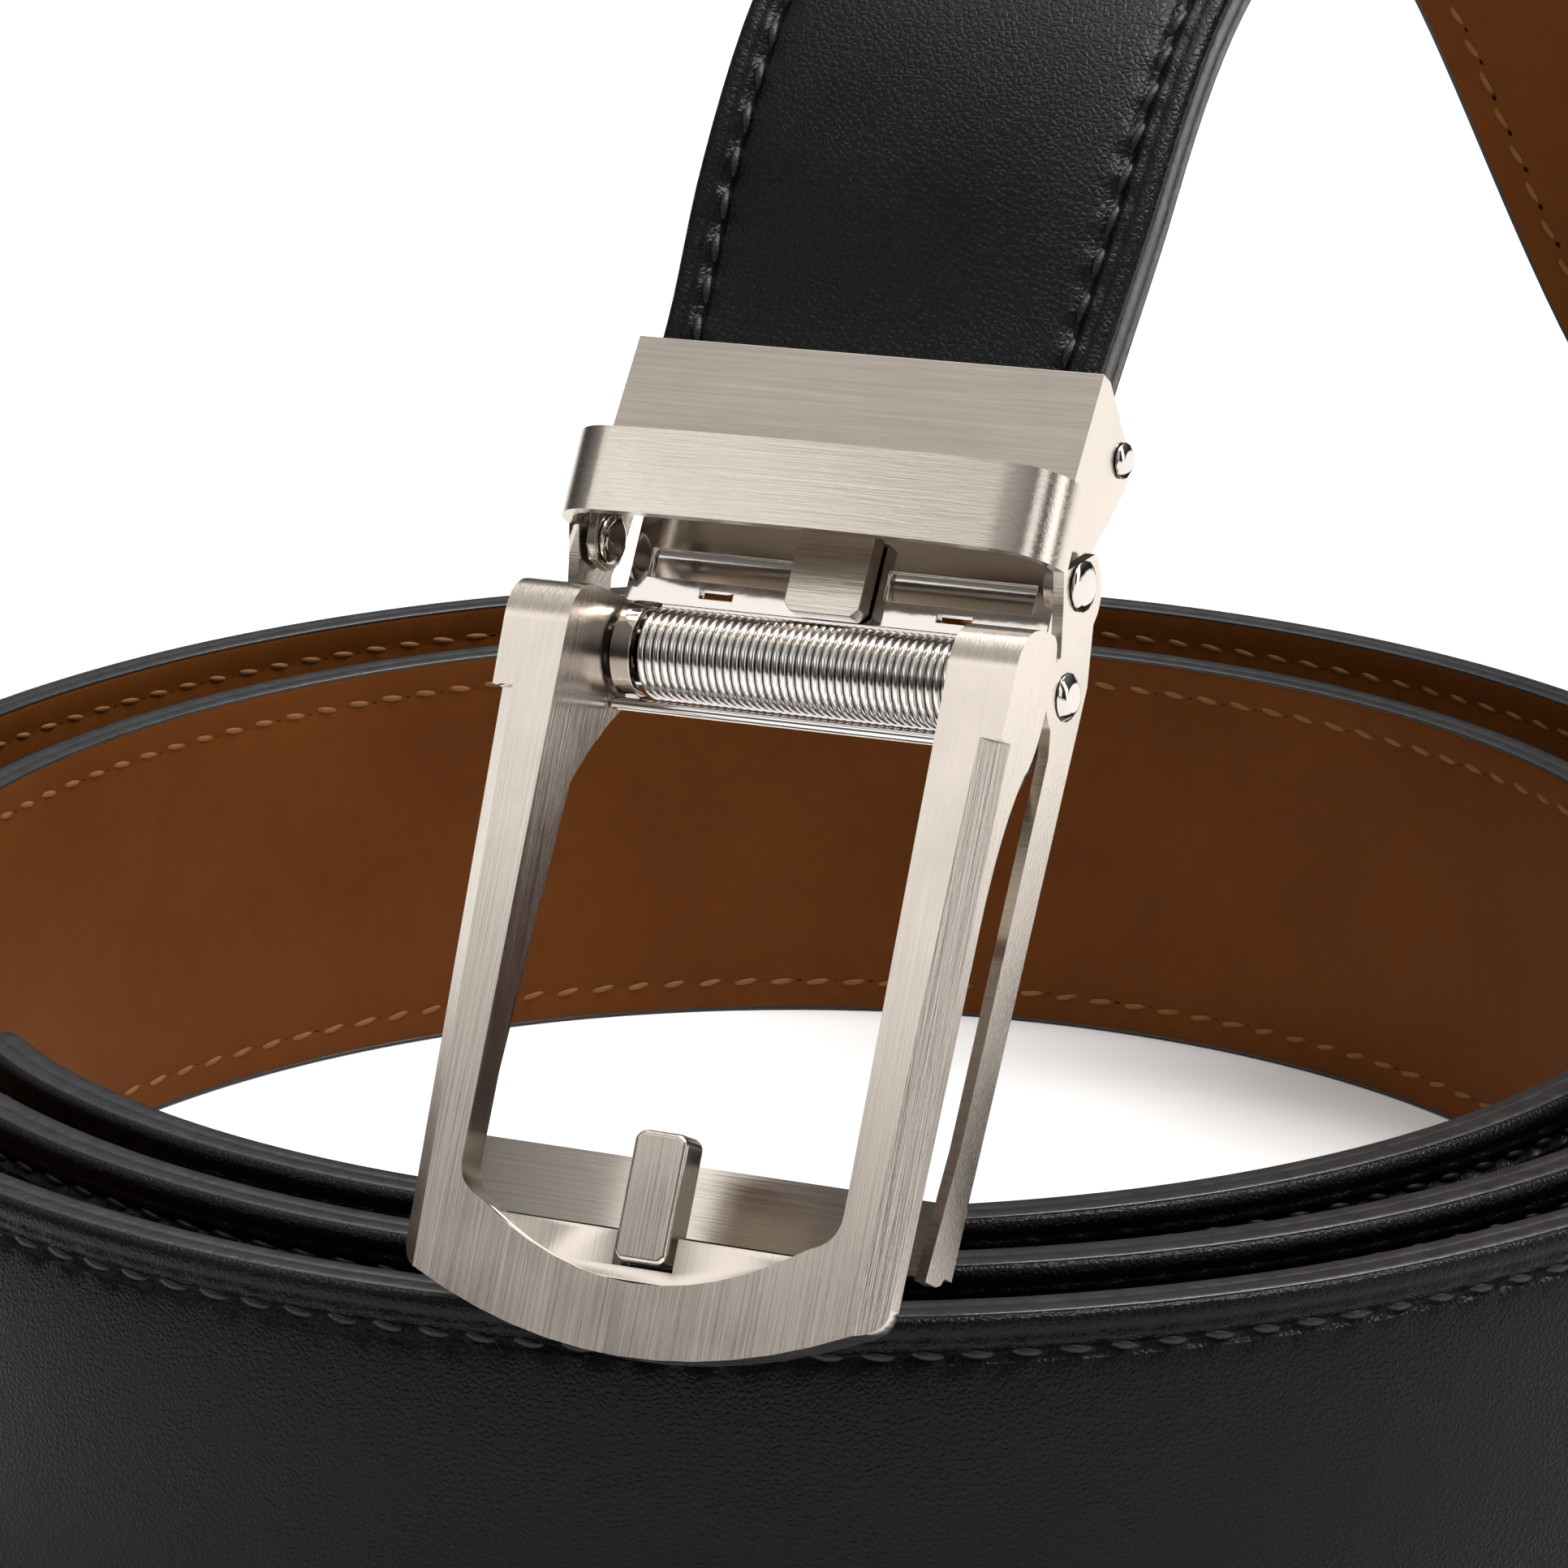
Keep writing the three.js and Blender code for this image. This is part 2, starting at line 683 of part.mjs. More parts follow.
// The plate behind the loop, between the ears, with two sunk windows and two small slots
function backPlate() {
  const half = clampInnerHalf - rivetHeadHeight - 2 * headSeat - sideClearance;
  const bottom = backPlateTop - backPlateHeight;
  const rear = -swivelEarRadius;
  const front = rear + backPlateThickness;
  const plate = box(-half, half, bottom, backPlateTop, rear, front);
  const windowTop = backPlateTop - backWindowDrop;
  const slotBottom = bottom + backPlateRim;
  const tools = [];
  for (const side of [-1, 1]) {
    const centre = side * (postWidth / 2 + backPlateRim + backWindowWidth / 2);
    tools.push(box(
      centre - backWindowWidth / 2, centre + backWindowWidth / 2,
      windowTop - backWindowHeight, windowTop, front - backWindowDepth, front + overcut));
    tools.push(box(
      centre - backSlotWidth / 2, centre + backSlotWidth / 2,
      slotBottom, slotBottom + backSlotHeight, rear - overcut, front + overcut));
  }
  return cut(plate, ...tools);
}

function centrePost() {
  const rear = -swivelEarRadius + backPlateThickness + sideClearance;
  const bottom = postTop - postHeight;
  const half = postWidth / 2;
  const shape = outlineOf([
    [-half, bottom + postChamfer],
    [-half + postChamfer, bottom],
    [half - postChamfer, bottom],
    [half, bottom + postChamfer],
    [half, postTop],
    [-half, postTop],
  ]);
  return extruded(shape, rear, rear + postThickness);
}

function swivelRivet(side) {
  const inner = clampInnerHalf - headSeat;
  const outer = chassisOuterHalf + headSeat;
  const rivet = headedPin(swivelPinRadius, swivelHeadRadius, inner, outer);
  return side > 0 ? rivet : rivet.rotateY(Math.PI);
}

// The hinge pin carries the spring on a thicker middle and ends in a domed head on each flange
const pinBarrelRadius = springRadius - springWire - springSeat;

function hingePin() {
  const reach = chassisOuterHalf + headSeat;
  const middle = springLength / 2 + earWidth / 2;
  return turnedAlongX([
    [-reach - rivetHeadHeight, 0],
    [-reach - rivetHeadHeight, hingeHeadRadius * domeFlat],
    [-reach, hingeHeadRadius],
    [-reach, hingePinRadius],
    [-middle, hingePinRadius],
    [-middle, pinBarrelRadius],
    [middle, pinBarrelRadius],
    [middle, hingePinRadius],
    [reach, hingePinRadius],
    [reach, hingeHeadRadius],
    [reach + rivetHeadHeight, hingeHeadRadius * domeFlat],
    [reach + rivetHeadHeight, 0],
  ]);
}

const springCentre = earWidth / 2;
const springStart = springCentre - springLength / 2;

// The spring as a ribbed tube, one rib for each turn of wire
function springCoil() {
  const pitch = springLength / springTurns;
  const valley = springRadius - springWire * 0.45;
  const inner = springRadius - springWire;
  const profile = [[springStart, inner]];
  for (let turn = 0; turn < springTurns; turn += 1) {
    profile.push([springStart + turn * pitch, valley]);
    profile.push([springStart + (turn + 0.5) * pitch, springRadius]);
  }
  profile.push([springStart + springLength, valley]);
  profile.push([springStart + springLength, inner]);
  profile.push([springStart, inner]);
  return turnedAlongX(profile, 12);
}

// The rolled ear at the spring's left end: half a ring over the pin, with a short lip under it
function springEar() {
  const right = springStart - springGap;
  const left = right - earWidth;
  const outer = springRadius + springWire / 2;
  const inner = outer - earSheet;
  const shape = new THREE.Shape();
  shape.absarc(0, 0, outer, 0, Math.PI, false);
  shape.lineTo(-outer, -earSheet);
  shape.lineTo(-inner, -earSheet);
  shape.absarc(0, 0, inner, Math.PI, 0, true);
  shape.closePath();
  return alongX(shape, left, right, 8);
}

// The front frame, in its own frame: origin on the hinge axis, Z out of the brushed face

function frameOutline() {
  const corner = frameCornerRadius;
  const bottomCorner = -windowLength - frameCornerDrop;
  const arcStart = bottomCorner - corner * cornerDip;
  const top = curlRise + overcut;
  const shape = new THREE.Shape();
  shape.moveTo(-frameTopHalfWidth, top);
  shape.lineTo(-frameBottomHalfWidth, bottomCorner + corner);
  shape.quadraticCurveTo(-frameBottomHalfWidth, bottomCorner, -frameBottomHalfWidth + corner, arcStart);
  shape.quadraticCurveTo(0, bottomCorner - 2 * frameBottomSagitta, frameBottomHalfWidth - corner, arcStart);
  shape.quadraticCurveTo(frameBottomHalfWidth, bottomCorner, frameBottomHalfWidth, bottomCorner + corner);
  shape.lineTo(frameTopHalfWidth, top);
  shape.closePath();
  return shape;
}

// The window's outline, open at the top, with its lower edge a shallow arc
function windowOutline() {
  const half = windowHalfWidth;
  const corner = windowCornerRadius;
  const arcStart = -windowLength - corner * cornerDip;
  const top = curlRise + 2 * overcut;
  const shape = new THREE.Shape();
  shape.moveTo(half, top);
  shape.lineTo(-half, top);
  shape.lineTo(-half, -windowLength + corner);
  shape.quadraticCurveTo(-half, -windowLength, -half + corner, arcStart);
  shape.quadraticCurveTo(0, -windowLength - 2 * windowSagitta, half - corner, arcStart);
  shape.quadraticCurveTo(half, -windowLength, half, -windowLength + corner);
  shape.closePath();
  return shape;
}

// The frame seen from its side: curls at the hinge as deep as rearAtHinge, slim rails below
function frameSideOutline(rearAtHinge, rearBelow, rearRound) {
  const face = frameFaceHeight;
  const back = face - frameThickness;
  const bottom = -windowLength - frameCornerDrop - 2 * frameBottomSagitta;
  const shape = new THREE.Shape();
  shape.moveTo(bottom, face);
  shape.lineTo(bottom, back);
  shape.lineTo(-curlReach, back);
  shape.quadraticCurveTo(-curlReach * 0.6, back, -rearBelow, rearAtHinge + hingePinRadius);
  shape.quadraticCurveTo(-rearBelow + hingePinRadius, rearAtHinge, 0, rearAtHinge);
  shape.quadraticCurveTo(curlRise, rearAtHinge, curlRise, rearAtHinge + rearRound);
  shape.lineTo(curlRise, face - curlFrontRound);
  shape.quadraticCurveTo(curlRise, face, curlRise - curlFrontRound, face);
  shape.closePath();
  return shape;
}

// The wedge that cuts the polished bevel along one rail's outer edge, below the shoulder
function bevelCutter(side) {
  const railLength = windowLength + frameCornerDrop;
  const taper = Math.atan2(frameTopHalfWidth - frameBottomHalfWidth, railLength);
  const edge = frameTopHalfWidth - shoulderDrop * Math.tan(taper);
  const shape = outlineOf([
    [edge - bevelWidth, frameFaceHeight],
    [edge, frameFaceHeight - bevelDepth],
    [edge + overcut, frameFaceHeight - bevelDepth - overcut],
    [edge + overcut, frameFaceHeight + overcut],
    [edge - bevelWidth, frameFaceHeight + overcut],
  ]);
  const wedge = extruded(shape, 0, railLength + 2 * frameBottomSagitta);
  wedge.rotateX(Math.PI / 2);
  wedge.translate(-edge, 0, 0);
  wedge.rotateZ(-taper);
  wedge.translate(edge, -shoulderDrop, 0);
  if (side < 0) {
    const mirrored = wedge.clone().applyMatrix4(new THREE.Matrix4().makeScale(-1, 1, 1));
    return flipped(mirrored);
  }
  return wedge;
}

// A mirrored geometry has its faces turned outward again
function flipped(geometry) {
  const plain = geometry.index ? geometry.toNonIndexed() : geometry;
  const position = plain.attributes.position;
  for (let corner = 0; corner < position.count; corner += 3) {
    const second = new THREE.Vector3().fromBufferAttribute(position, corner + 1);
    const third = new THREE.Vector3().fromBufferAttribute(position, corner + 2);
    position.setXYZ(corner + 1, third.x, third.y, third.z);
    position.setXYZ(corner + 2, second.x, second.y, second.z);
  }
  return plain;
}

function frontFrame() {
  const deep = frameFaceHeight + hingeEarRadius;
  const blank = extruded(frameOutline(), -deep, frameFaceHeight + overcut, 12);
  const window = extruded(windowOutline(), -deep - overcut, frameFaceHeight + 2 * overcut, 12);
  const width = frameTopHalfWidth + overcut;
  const earSide = frameSideOutline(-hingePinRadius - curlWall, curlRise, hingeEarRadius);
  const plateSide = frameSideOutline(hingeEarRadius + plateClearance, 2 * curlRise, hingePinRadius);
  const innerPart = common(cut(blank, window), alongX(earSide, -frameEarOuter, frameEarOuter, 6));
  const outerPart = common(cut(blank, window), alongX(plateSide, -width, width, 6));
  const ledgeBack = frameFaceHeight - ledgeRecess - ledgeThickness;
  const crescent = common(
    extruded(frameOutline(), ledgeBack, frameFaceHeight - ledgeRecess, 12),
    box(-windowHalfWidth - fuse, windowHalfWidth + fuse,
      -windowLength - windowSagitta - fuse, -windowLength - ledgeDrop,
      ledgeBack, frameFaceHeight - ledgeRecess));
  const notchHalf = prongWidth / 2 + prongSeat;
  const notch = box(
    -notchHalf, notchHalf,
    -windowLength - ledgeDrop - notchDepth, -windowLength,
    ledgeBack - overcut, frameFaceHeight - ledgeRecess + fuse);
  const hole = rodAlongX(hingePinRadius + runningClearance, -width, width, 0, 0);
  const whole = joined(innerPart, outerPart, crescent);
  return cut(whole, notch, bevelCutter(1), bevelCutter(-1), hole);
}

function prongTip() {
  const bottom = -windowLength - ledgeDrop - notchDepth + prongSeat;
  const back = frameFaceHeight - prongThickness - prongRecess;
  const half = prongWidth / 2;
  const round = prongRound;
  const top = bottom + prongHeight;
  const shape = outlineOf([
    [-half + round, bottom],
    [half - round, bottom],
    [half, bottom + round],
    [half, top - round],
    [half - round, top],
    [-half + round, top],
    [-half, top - round],
    [-half, bottom + round],
  ]);
  return extruded(shape, back, back + prongThickness);
}

function springBar() {
  const reach = windowHalfWidth - prongSeat;
  const drop = springRadius + springBarRadius + springSeat;
  return rodAlongX(springBarRadius, -reach, reach, -drop, hingePinRadius, 10);
}

// The whole belt

function namedMesh(name, geometry, material) {
  const mesh = new THREE.Mesh(geometry, material);
  mesh.name = name;
  return mesh;
}

function hangingGroup(leanDegrees) {
  const group = new THREE.Group();
  group.position.copy(swivelPlace);
  group.rotation.copy(hangingTurn(leanDegrees));
  return group;
}

const belt = new THREE.Group();
belt.add(namedMesh('strap_face', strapFace(), blackLeather));
belt.add(namedMesh('strap_lining', strapLining(), brownLeather));
belt.add(namedMesh('ratchet_track', ratchetTrack(), blackPlastic));

const clampGroup = hangingGroup(clampLeanDegrees);
clampGroup.add(namedMesh('clamp_box', clampBox(), brushedNickel));
clampGroup.add(namedMesh('clamp_jaw', clampJaw(), polishedNickel));
clampGroup.add(namedMesh('clamp_pin', clampPin(), polishedNickel));
belt.add(clampGroup);

const chassisGroup = hangingGroup(chassisLeanDegrees);
chassisGroup.add(namedMesh('chassis', chassis(), brushedNickel));
chassisGroup.add(namedMesh('back_plate', backPlate(), polishedNickel));
chassisGroup.add(namedMesh('centre_post', centrePost(), brushedNickel));
chassisGroup.add(namedMesh('swivel_rivet_left', swivelRivet(-1), polishedNickel));
chassisGroup.add(namedMesh('swivel_rivet_right', swivelRivet(1), polishedNickel));
belt.add(chassisGroup);

const hingeGroup = new THREE.Group();
hingeGroup.position.set(0, -hingeDrop, -hingeSetback);
hingeGroup.add(namedMesh('hinge_pin', hingePin(), polishedNickel));
hingeGroup.add(namedMesh('spring_coil', springCoil(), springSteel));
chassisGroup.add(hingeGroup);

const frameGroup = new THREE.Group();
frameGroup.rotation.x = THREE.MathUtils.degToRad(frameTiltDegrees);
frameGroup.add(namedMesh('front_frame', frontFrame(), brushedNickel));
frameGroup.add(namedMesh('prong_tip', prongTip(), brushedNickel));
frameGroup.add(namedMesh('spring_ear', springEar(), polishedNickel));
frameGroup.add(namedMesh('spring_bar', springBar(), springSteel));
hingeGroup.add(frameGroup);

// The origin goes to the middle of the belt's box, on the surface that it stands on
belt.updateMatrixWorld(true);
const extent = new THREE.Box3().setFromObject(belt, true);
const middle = extent.getCenter(new THREE.Vector3());
belt.position.set(-middle.x, -middle.y, -extent.min.z);

export default belt;
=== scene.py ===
"""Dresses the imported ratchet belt: leather strap with stitches, nickel buckle, studio and camera.

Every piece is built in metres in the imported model's own frame. Sizes inside the classes are in
millimetres and are turned into metres by MM.
"""

import json
import logging
import math
from dataclasses import dataclass, field
from enum import Enum

import bmesh
import bpy
import numpy as np
from mathutils import Euler, Matrix, Vector

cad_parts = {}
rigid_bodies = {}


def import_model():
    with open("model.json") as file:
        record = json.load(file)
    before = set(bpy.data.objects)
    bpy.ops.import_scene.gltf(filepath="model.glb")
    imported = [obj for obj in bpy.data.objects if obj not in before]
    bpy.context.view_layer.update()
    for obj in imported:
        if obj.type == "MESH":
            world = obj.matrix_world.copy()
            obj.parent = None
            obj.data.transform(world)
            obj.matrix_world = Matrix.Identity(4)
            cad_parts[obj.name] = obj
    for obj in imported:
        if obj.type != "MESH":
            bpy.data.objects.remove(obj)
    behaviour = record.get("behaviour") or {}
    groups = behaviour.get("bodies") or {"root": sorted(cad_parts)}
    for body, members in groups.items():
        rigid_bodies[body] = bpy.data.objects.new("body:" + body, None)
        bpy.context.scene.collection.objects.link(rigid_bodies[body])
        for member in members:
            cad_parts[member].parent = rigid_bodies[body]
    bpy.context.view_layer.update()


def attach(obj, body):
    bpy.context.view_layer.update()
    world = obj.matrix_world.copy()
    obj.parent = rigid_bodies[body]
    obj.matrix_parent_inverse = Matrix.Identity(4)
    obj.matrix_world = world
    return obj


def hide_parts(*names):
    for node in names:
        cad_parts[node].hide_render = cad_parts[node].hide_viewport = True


LOG = logging.getLogger("ratchet_belt")
MM = 0.001
STRAP_MAP = "along_and_in_from_edge"

# Edges that turn by more than SHARP are rounded, those under FLAT are taken out, and points closer
# than WELD are joined
SHARP = math.radians(32)
FLAT = math.radians(0.05)
WELD = 0.002 * MM

# How the buckle hangs, in degrees
BUCKLE_YAW = 29.0
BUCKLE_ROLL = 2.75

# The stitched rows, in millimetres: the first stitch's place along the strap, the distance in from
# the edge, and the step from stitch to stitch
SEAM_START = 10.4
SEAM_INSET = 2.75
SEAM_PITCH = 3.3


class Body(Enum):
    """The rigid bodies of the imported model."""

    STRAP = "strap"
    JAW = "jaw"
    CHASSIS = "chassis"
    FRAME = "frame"


class Slot(Enum):
    """The record's material slots."""

    BLACK_LEATHER = "black_leather"
    BROWN_LEATHER = "brown_leather"
    BLACK_PLASTIC = "black_plastic"
    BRUSHED_NICKEL = "brushed_nickel"
    POLISHED_NICKEL = "polished_nickel"
    SPRING_STEEL = "spring_steel"


class Lean(Enum):
    """How far each hanging group leans back, in degrees."""

    CLAMP = 38.0
    CHASSIS = 32.0
    FRAME = 27.5


class StrapSide(Enum):
    """The two faces of the strap, with the sign of its outward direction."""

    FACE = 1
    LINING = -1


# Finishes


def shaded(colour: tuple[float, float, float], share: float = 1.0) -> tuple[float, float, float, float]:
    """Gives an opaque colour, lighter or darker by a share."""
    return (*[level * share for level in colour], 1.0)


class NodeBoard:
    """A material's node tree, filled one node at a time."""

    def __init__(self, name: str) -> None:
        """Starts a material with only a Principled shader and its output.

        Args:
            name: The material's name.
        """
        self.material = bpy.data.materials.new(name)
        self.material.use_nodes = True
        self.tree = self.material.node_tree
        self.shader = self.tree.nodes["Principled BSDF"]
        self.objects = self.add("ShaderNodeTexCoord").outputs["Object"]

    def add(self, kind: str, settings: dict | None = None, **inputs: object) -> bpy.types.Node:
        """Adds a node, sets its options and sets or links its inputs.

        Args:
            kind: The node's type name.
            settings: Options set as attributes of the node.
            **inputs: Values or output sockets by input name, with spaces written as underscores.

        Returns:
            The new node.
        """
        node = self.tree.nodes.new(kind)
        for key, value in (settings or {}).items():
            setattr(node, key, value)
        for key, value in inputs.items():
            self.feed(node, key.replace("_", " "), value)
        return node

    def feed(self, node: bpy.types.Node, name: str | int, value: object) -> None:
        """Links a socket to a node's input, or sets the input's own value.

        Args:
            node: The node that takes the value.
            name: The input's name or number.
            value: A socket to link, or a plain value.
        """
        if isinstance(value, bpy.types.NodeSocket):
            self.tree.links.new(value, node.inputs[name])
        else:
            node.inputs[name].default_value = value

    def math(self, operation: str, first: object, second: object = 0.0) -> bpy.types.NodeSocket:
        """Adds a math node.

        Args:
            operation: The math node's operation.
            first: A socket or number.
            second: A socket or number.

        Returns:
            The result socket.
        """
        node = self.add("ShaderNodeMath", {"operation": operation})
        self.feed(node, 0, first)
        self.feed(node, 1, second)
        return node.outputs[0]

    def span(self, value: bpy.types.NodeSocket, low: float, high: float,
             to_low: float, to_high: float) -> bpy.types.NodeSocket:
        """Maps a value from one range to another and keeps it inside.

        Args:
            value: The socket to map.
            low: Where the first range starts.
            high: Where the first range ends.
            to_low: Where the second range starts.
            to_high: Where the second range ends.

        Returns:
            The mapped socket.
        """
        node = self.add("ShaderNodeMapRange", {"clamp": True})
        ends = (("From Min", low), ("From Max", high), ("To Min", to_low), ("To Max", to_high))
        for name, number in ends:
            node.inputs[name].default_value = number
        self.feed(node, "Value", value)
        return node.outputs["Result"]

    def blend(self, share: bpy.types.NodeSocket, first: object, second: object) -> bpy.types.NodeSocket:
        """Mixes two colours by a share.

        Args:
            share: The socket that gives the second colour's share.
            first: A colour or socket.
            second: A colour or socket.

        Returns:
            The mixed colour socket.
        """
        node = self.add("ShaderNodeMix", {"data_type": "RGBA"})
        self.feed(node, 0, share)
        self.feed(node, 6, first)
        self.feed(node, 7, second)
        return node.outputs[2]

    def noise(self, scale: float, detail: float = 3.0, place: bpy.types.NodeSocket | None = None,
              roughness: float = 0.55) -> bpy.types.NodeSocket:
        """Adds a noise texture.

        Args:
            scale: Features for each metre.
            detail: How many finer layers it has.
            place: The coordinates, or None for the object's own.
            roughness: How strong the finer layers are.

        Returns:
            The noise value socket.
        """
        node = self.add("ShaderNodeTexNoise", Scale=scale, Detail=detail, Roughness=roughness)
        self.feed(node, "Vector", place or self.objects)
        return node.outputs["Fac"]

    def bump(self, height: bpy.types.NodeSocket, depth: float, strength: float = 1.0,
             before: bpy.types.NodeSocket | None = None) -> bpy.types.NodeSocket:
        """Adds a bump node.

        Args:
            height: The height socket, from 0 to 1.
            depth: The full height in metres.
            strength: The share of the bump that shows.
            before: The normal of an earlier bump.

        Returns:
            The normal socket.
        """
        node = self.add("ShaderNodeBump", Height=height, Distance=depth, Strength=strength)
        if before is not None:
            self.feed(node, "Normal", before)
        return node.outputs["Normal"]

    def finish(self, **inputs: object) -> bpy.types.Material:
        """Sets the shader's inputs.

        Args:
            **inputs: Values or sockets by input name, with spaces written as underscores.

        Returns:
            The finished material.
        """
        for key, value in inputs.items():
            self.feed(self.shader, key.replace("_", " "), value)
        return self.material


@dataclass(frozen=True)
class GrainLeather:
    """Leather with fine pebbled grain, faint mottling, painted shade in the grain's valleys and a soft
    gloss.
    """

    name: str
    colour: tuple[float, float, float]
    worn: tuple[float, float, float]
    roughness: float
    grain_cells: float
    grain_depth: float
    gloss: float
    mottle: float = 90.0
    groove_width: float = 0.7 * MM
    groove_share: float = 0.6
    pucker_width: float = 1.9 * MM
    pucker_sharpness: float = 1.5
    seam_depth: float = 0.45 * MM

    def material(self) -> bpy.types.Material:
        """Builds the material."""
        board = NodeBoard(self.name)
        wander = board.noise(self.grain_cells * 0.35, 2.0)
        bent = board.add("ShaderNodeVectorMath", {"operation": "MULTIPLY_ADD"})
        board.feed(bent, 0, board.add("ShaderNodeCombineXYZ", X=wander, Y=wander, Z=wander).outputs[0])
        board.feed(bent, 1, (0.35 / self.grain_cells,) * 3)
        board.feed(bent, 2, board.objects)
        cells = board.add("ShaderNodeTexVoronoi", {"feature": "DISTANCE_TO_EDGE"}, Scale=self.grain_cells)
        board.feed(cells, "Vector", bent.outputs[0])
        pebbles = board.span(cells.outputs["Distance"], 0.0, 0.28, 0.0, 1.0)
        fine = board.noise(self.grain_cells * 2.6, 3.0)
        broad = board.noise(self.mottle, 4.0)
        height = board.math("ADD", board.math("MULTIPLY", pebbles, 0.7), board.math("MULTIPLY", fine, 0.3))
        uneven = board.math("MULTIPLY", height, board.span(broad, 0.3, 0.7, 0.55, 1.0))
        sewn = board.bump(self.seam(board), self.seam_depth)
        normal = board.bump(uneven, self.grain_depth, before=sewn)
        colour = board.blend(board.span(broad, 0.35, 0.7, 0.0, 1.0), shaded(self.colour), shaded(self.worn))
        # Painted shade: the grain's valleys between the pebbles are darkened to 0.4 of the colour.
        valley_shade_share = board.span(pebbles, 0.0, 0.5, 0.55, 0.0)
        valley_shaded_colour = board.blend(valley_shade_share, colour, shaded(self.colour, 0.4))
        rough = board.span(board.math("ADD", broad, board.math("MULTIPLY", fine, 0.5)), 0.5, 1.0,
                           self.roughness - 0.06, self.roughness + 0.08)
        return board.finish(Base_Color=valley_shaded_colour, Roughness=rough, Normal=normal,
                            Specular_IOR_Level=self.gloss)

    def seam(self, board: NodeBoard) -> bpy.types.NodeSocket:
        """Draws the stitched groove and the puckers that the thread pulls into the leather.

        Args:
            board: The material's nodes.

        Returns:
            The height socket.
        """
        place = board.add("ShaderNodeUVMap", {"uv_map": STRAP_MAP})
        parts = board.add("ShaderNodeSeparateXYZ", Vector=place.outputs[0])
        off = board.math("ABSOLUTE", board.math("SUBTRACT", parts.outputs["Y"], SEAM_INSET * MM))
        groove = board.span(off, 0.0, self.groove_width, 1.0, 0.0)
        near = board.span(off, 0.0, self.pucker_width, 1.0, 0.0)
        along = board.math("SUBTRACT", parts.outputs["X"], SEAM_START * MM)
        wave = board.math("COSINE", board.math("MULTIPLY", along, 2 * math.pi / (SEAM_PITCH * MM)))
        uneven = board.span(board.noise(420.0, 2.0), 0.3, 0.7, 0.1, 0.5)
        fading = board.math("POWER", near, self.pucker_sharpness)
        pucker = board.math("MULTIPLY", board.math("MULTIPLY", wave, uneven), fading)
        return board.math("SUBTRACT", pucker, board.math("MULTIPLY", groove, self.groove_share))


@dataclass(frozen=True)
class SmoothLeather:
    """A smooth split-leather lining: matt, faintly clouded, with short fine fibres."""

    name: str
    colour: tuple[float, float, float]
    cloud: tuple[float, float, float]
    roughness: float

    def material(self) -> bpy.types.Material:
        """Builds the material."""
        board = NodeBoard(self.name)
        broad = board.noise(55.0, 3.0)
        middle = board.noise(420.0, 4.0, roughness=0.65)
        fine = board.noise(2600.0, 3.0)
        share = board.math("ADD", board.math("MULTIPLY", broad, 0.6), board.math("MULTIPLY", middle, 0.4))
        clouds = board.span(share, 0.36, 0.64, 0.0, 1.0)
        colour = board.blend(clouds, shaded(self.colour), shaded(self.cloud))
        height = board.math("ADD", board.math("MULTIPLY", middle, 0.5), board.math("MULTIPLY", fine, 0.5))
        normal = board.bump(height, 0.06 * MM)
        rough = board.span(middle, 0.3, 0.7, self.roughness - 0.05, self.roughness + 0.08)
        return board.finish(Base_Color=colour, Roughness=rough, Normal=normal, Specular_IOR_Level=0.1)


@dataclass(frozen=True)
class EdgePaint:
    """The glossy dark paint along a strap's cut edges, slightly uneven."""

    name: str
    colour: tuple[float, float, float]
    roughness: float

    def material(self) -> bpy.types.Material:
        """Builds the material."""
        board = NodeBoard(self.name)
        lumps = board.noise(700.0, 3.0)
        normal = board.bump(lumps, 0.08 * MM)
        shade = board.blend(lumps, shaded(self.colour), shaded(self.colour, 1.7))
        rough = board.span(lumps, 0.3, 0.7, self.roughness - 0.06, self.roughness + 0.08)
        return board.finish(Base_Color=shade, Roughness=rough, Normal=normal)


@dataclass(frozen=True)
class Thread:
    """Waxed sewing thread: fine twisted plies along the stitch."""

    name: str
    colour: tuple[float, float, float]
    roughness: float
    gloss: float

    def material(self) -> bpy.types.Material:
        """Builds the material."""
        board = NodeBoard(self.name)
        plies = board.noise(5200.0, 2.0)
        tone = board.noise(300.0, 2.0)
        colour = board.blend(tone, shaded(self.colour, 0.75), shaded(self.colour, 1.2))
        normal = board.bump(plies, 0.06 * MM)
        return board.finish(Base_Color=colour, Roughness=self.roughness, Normal=normal,
                            Specular_IOR_Level=self.gloss)


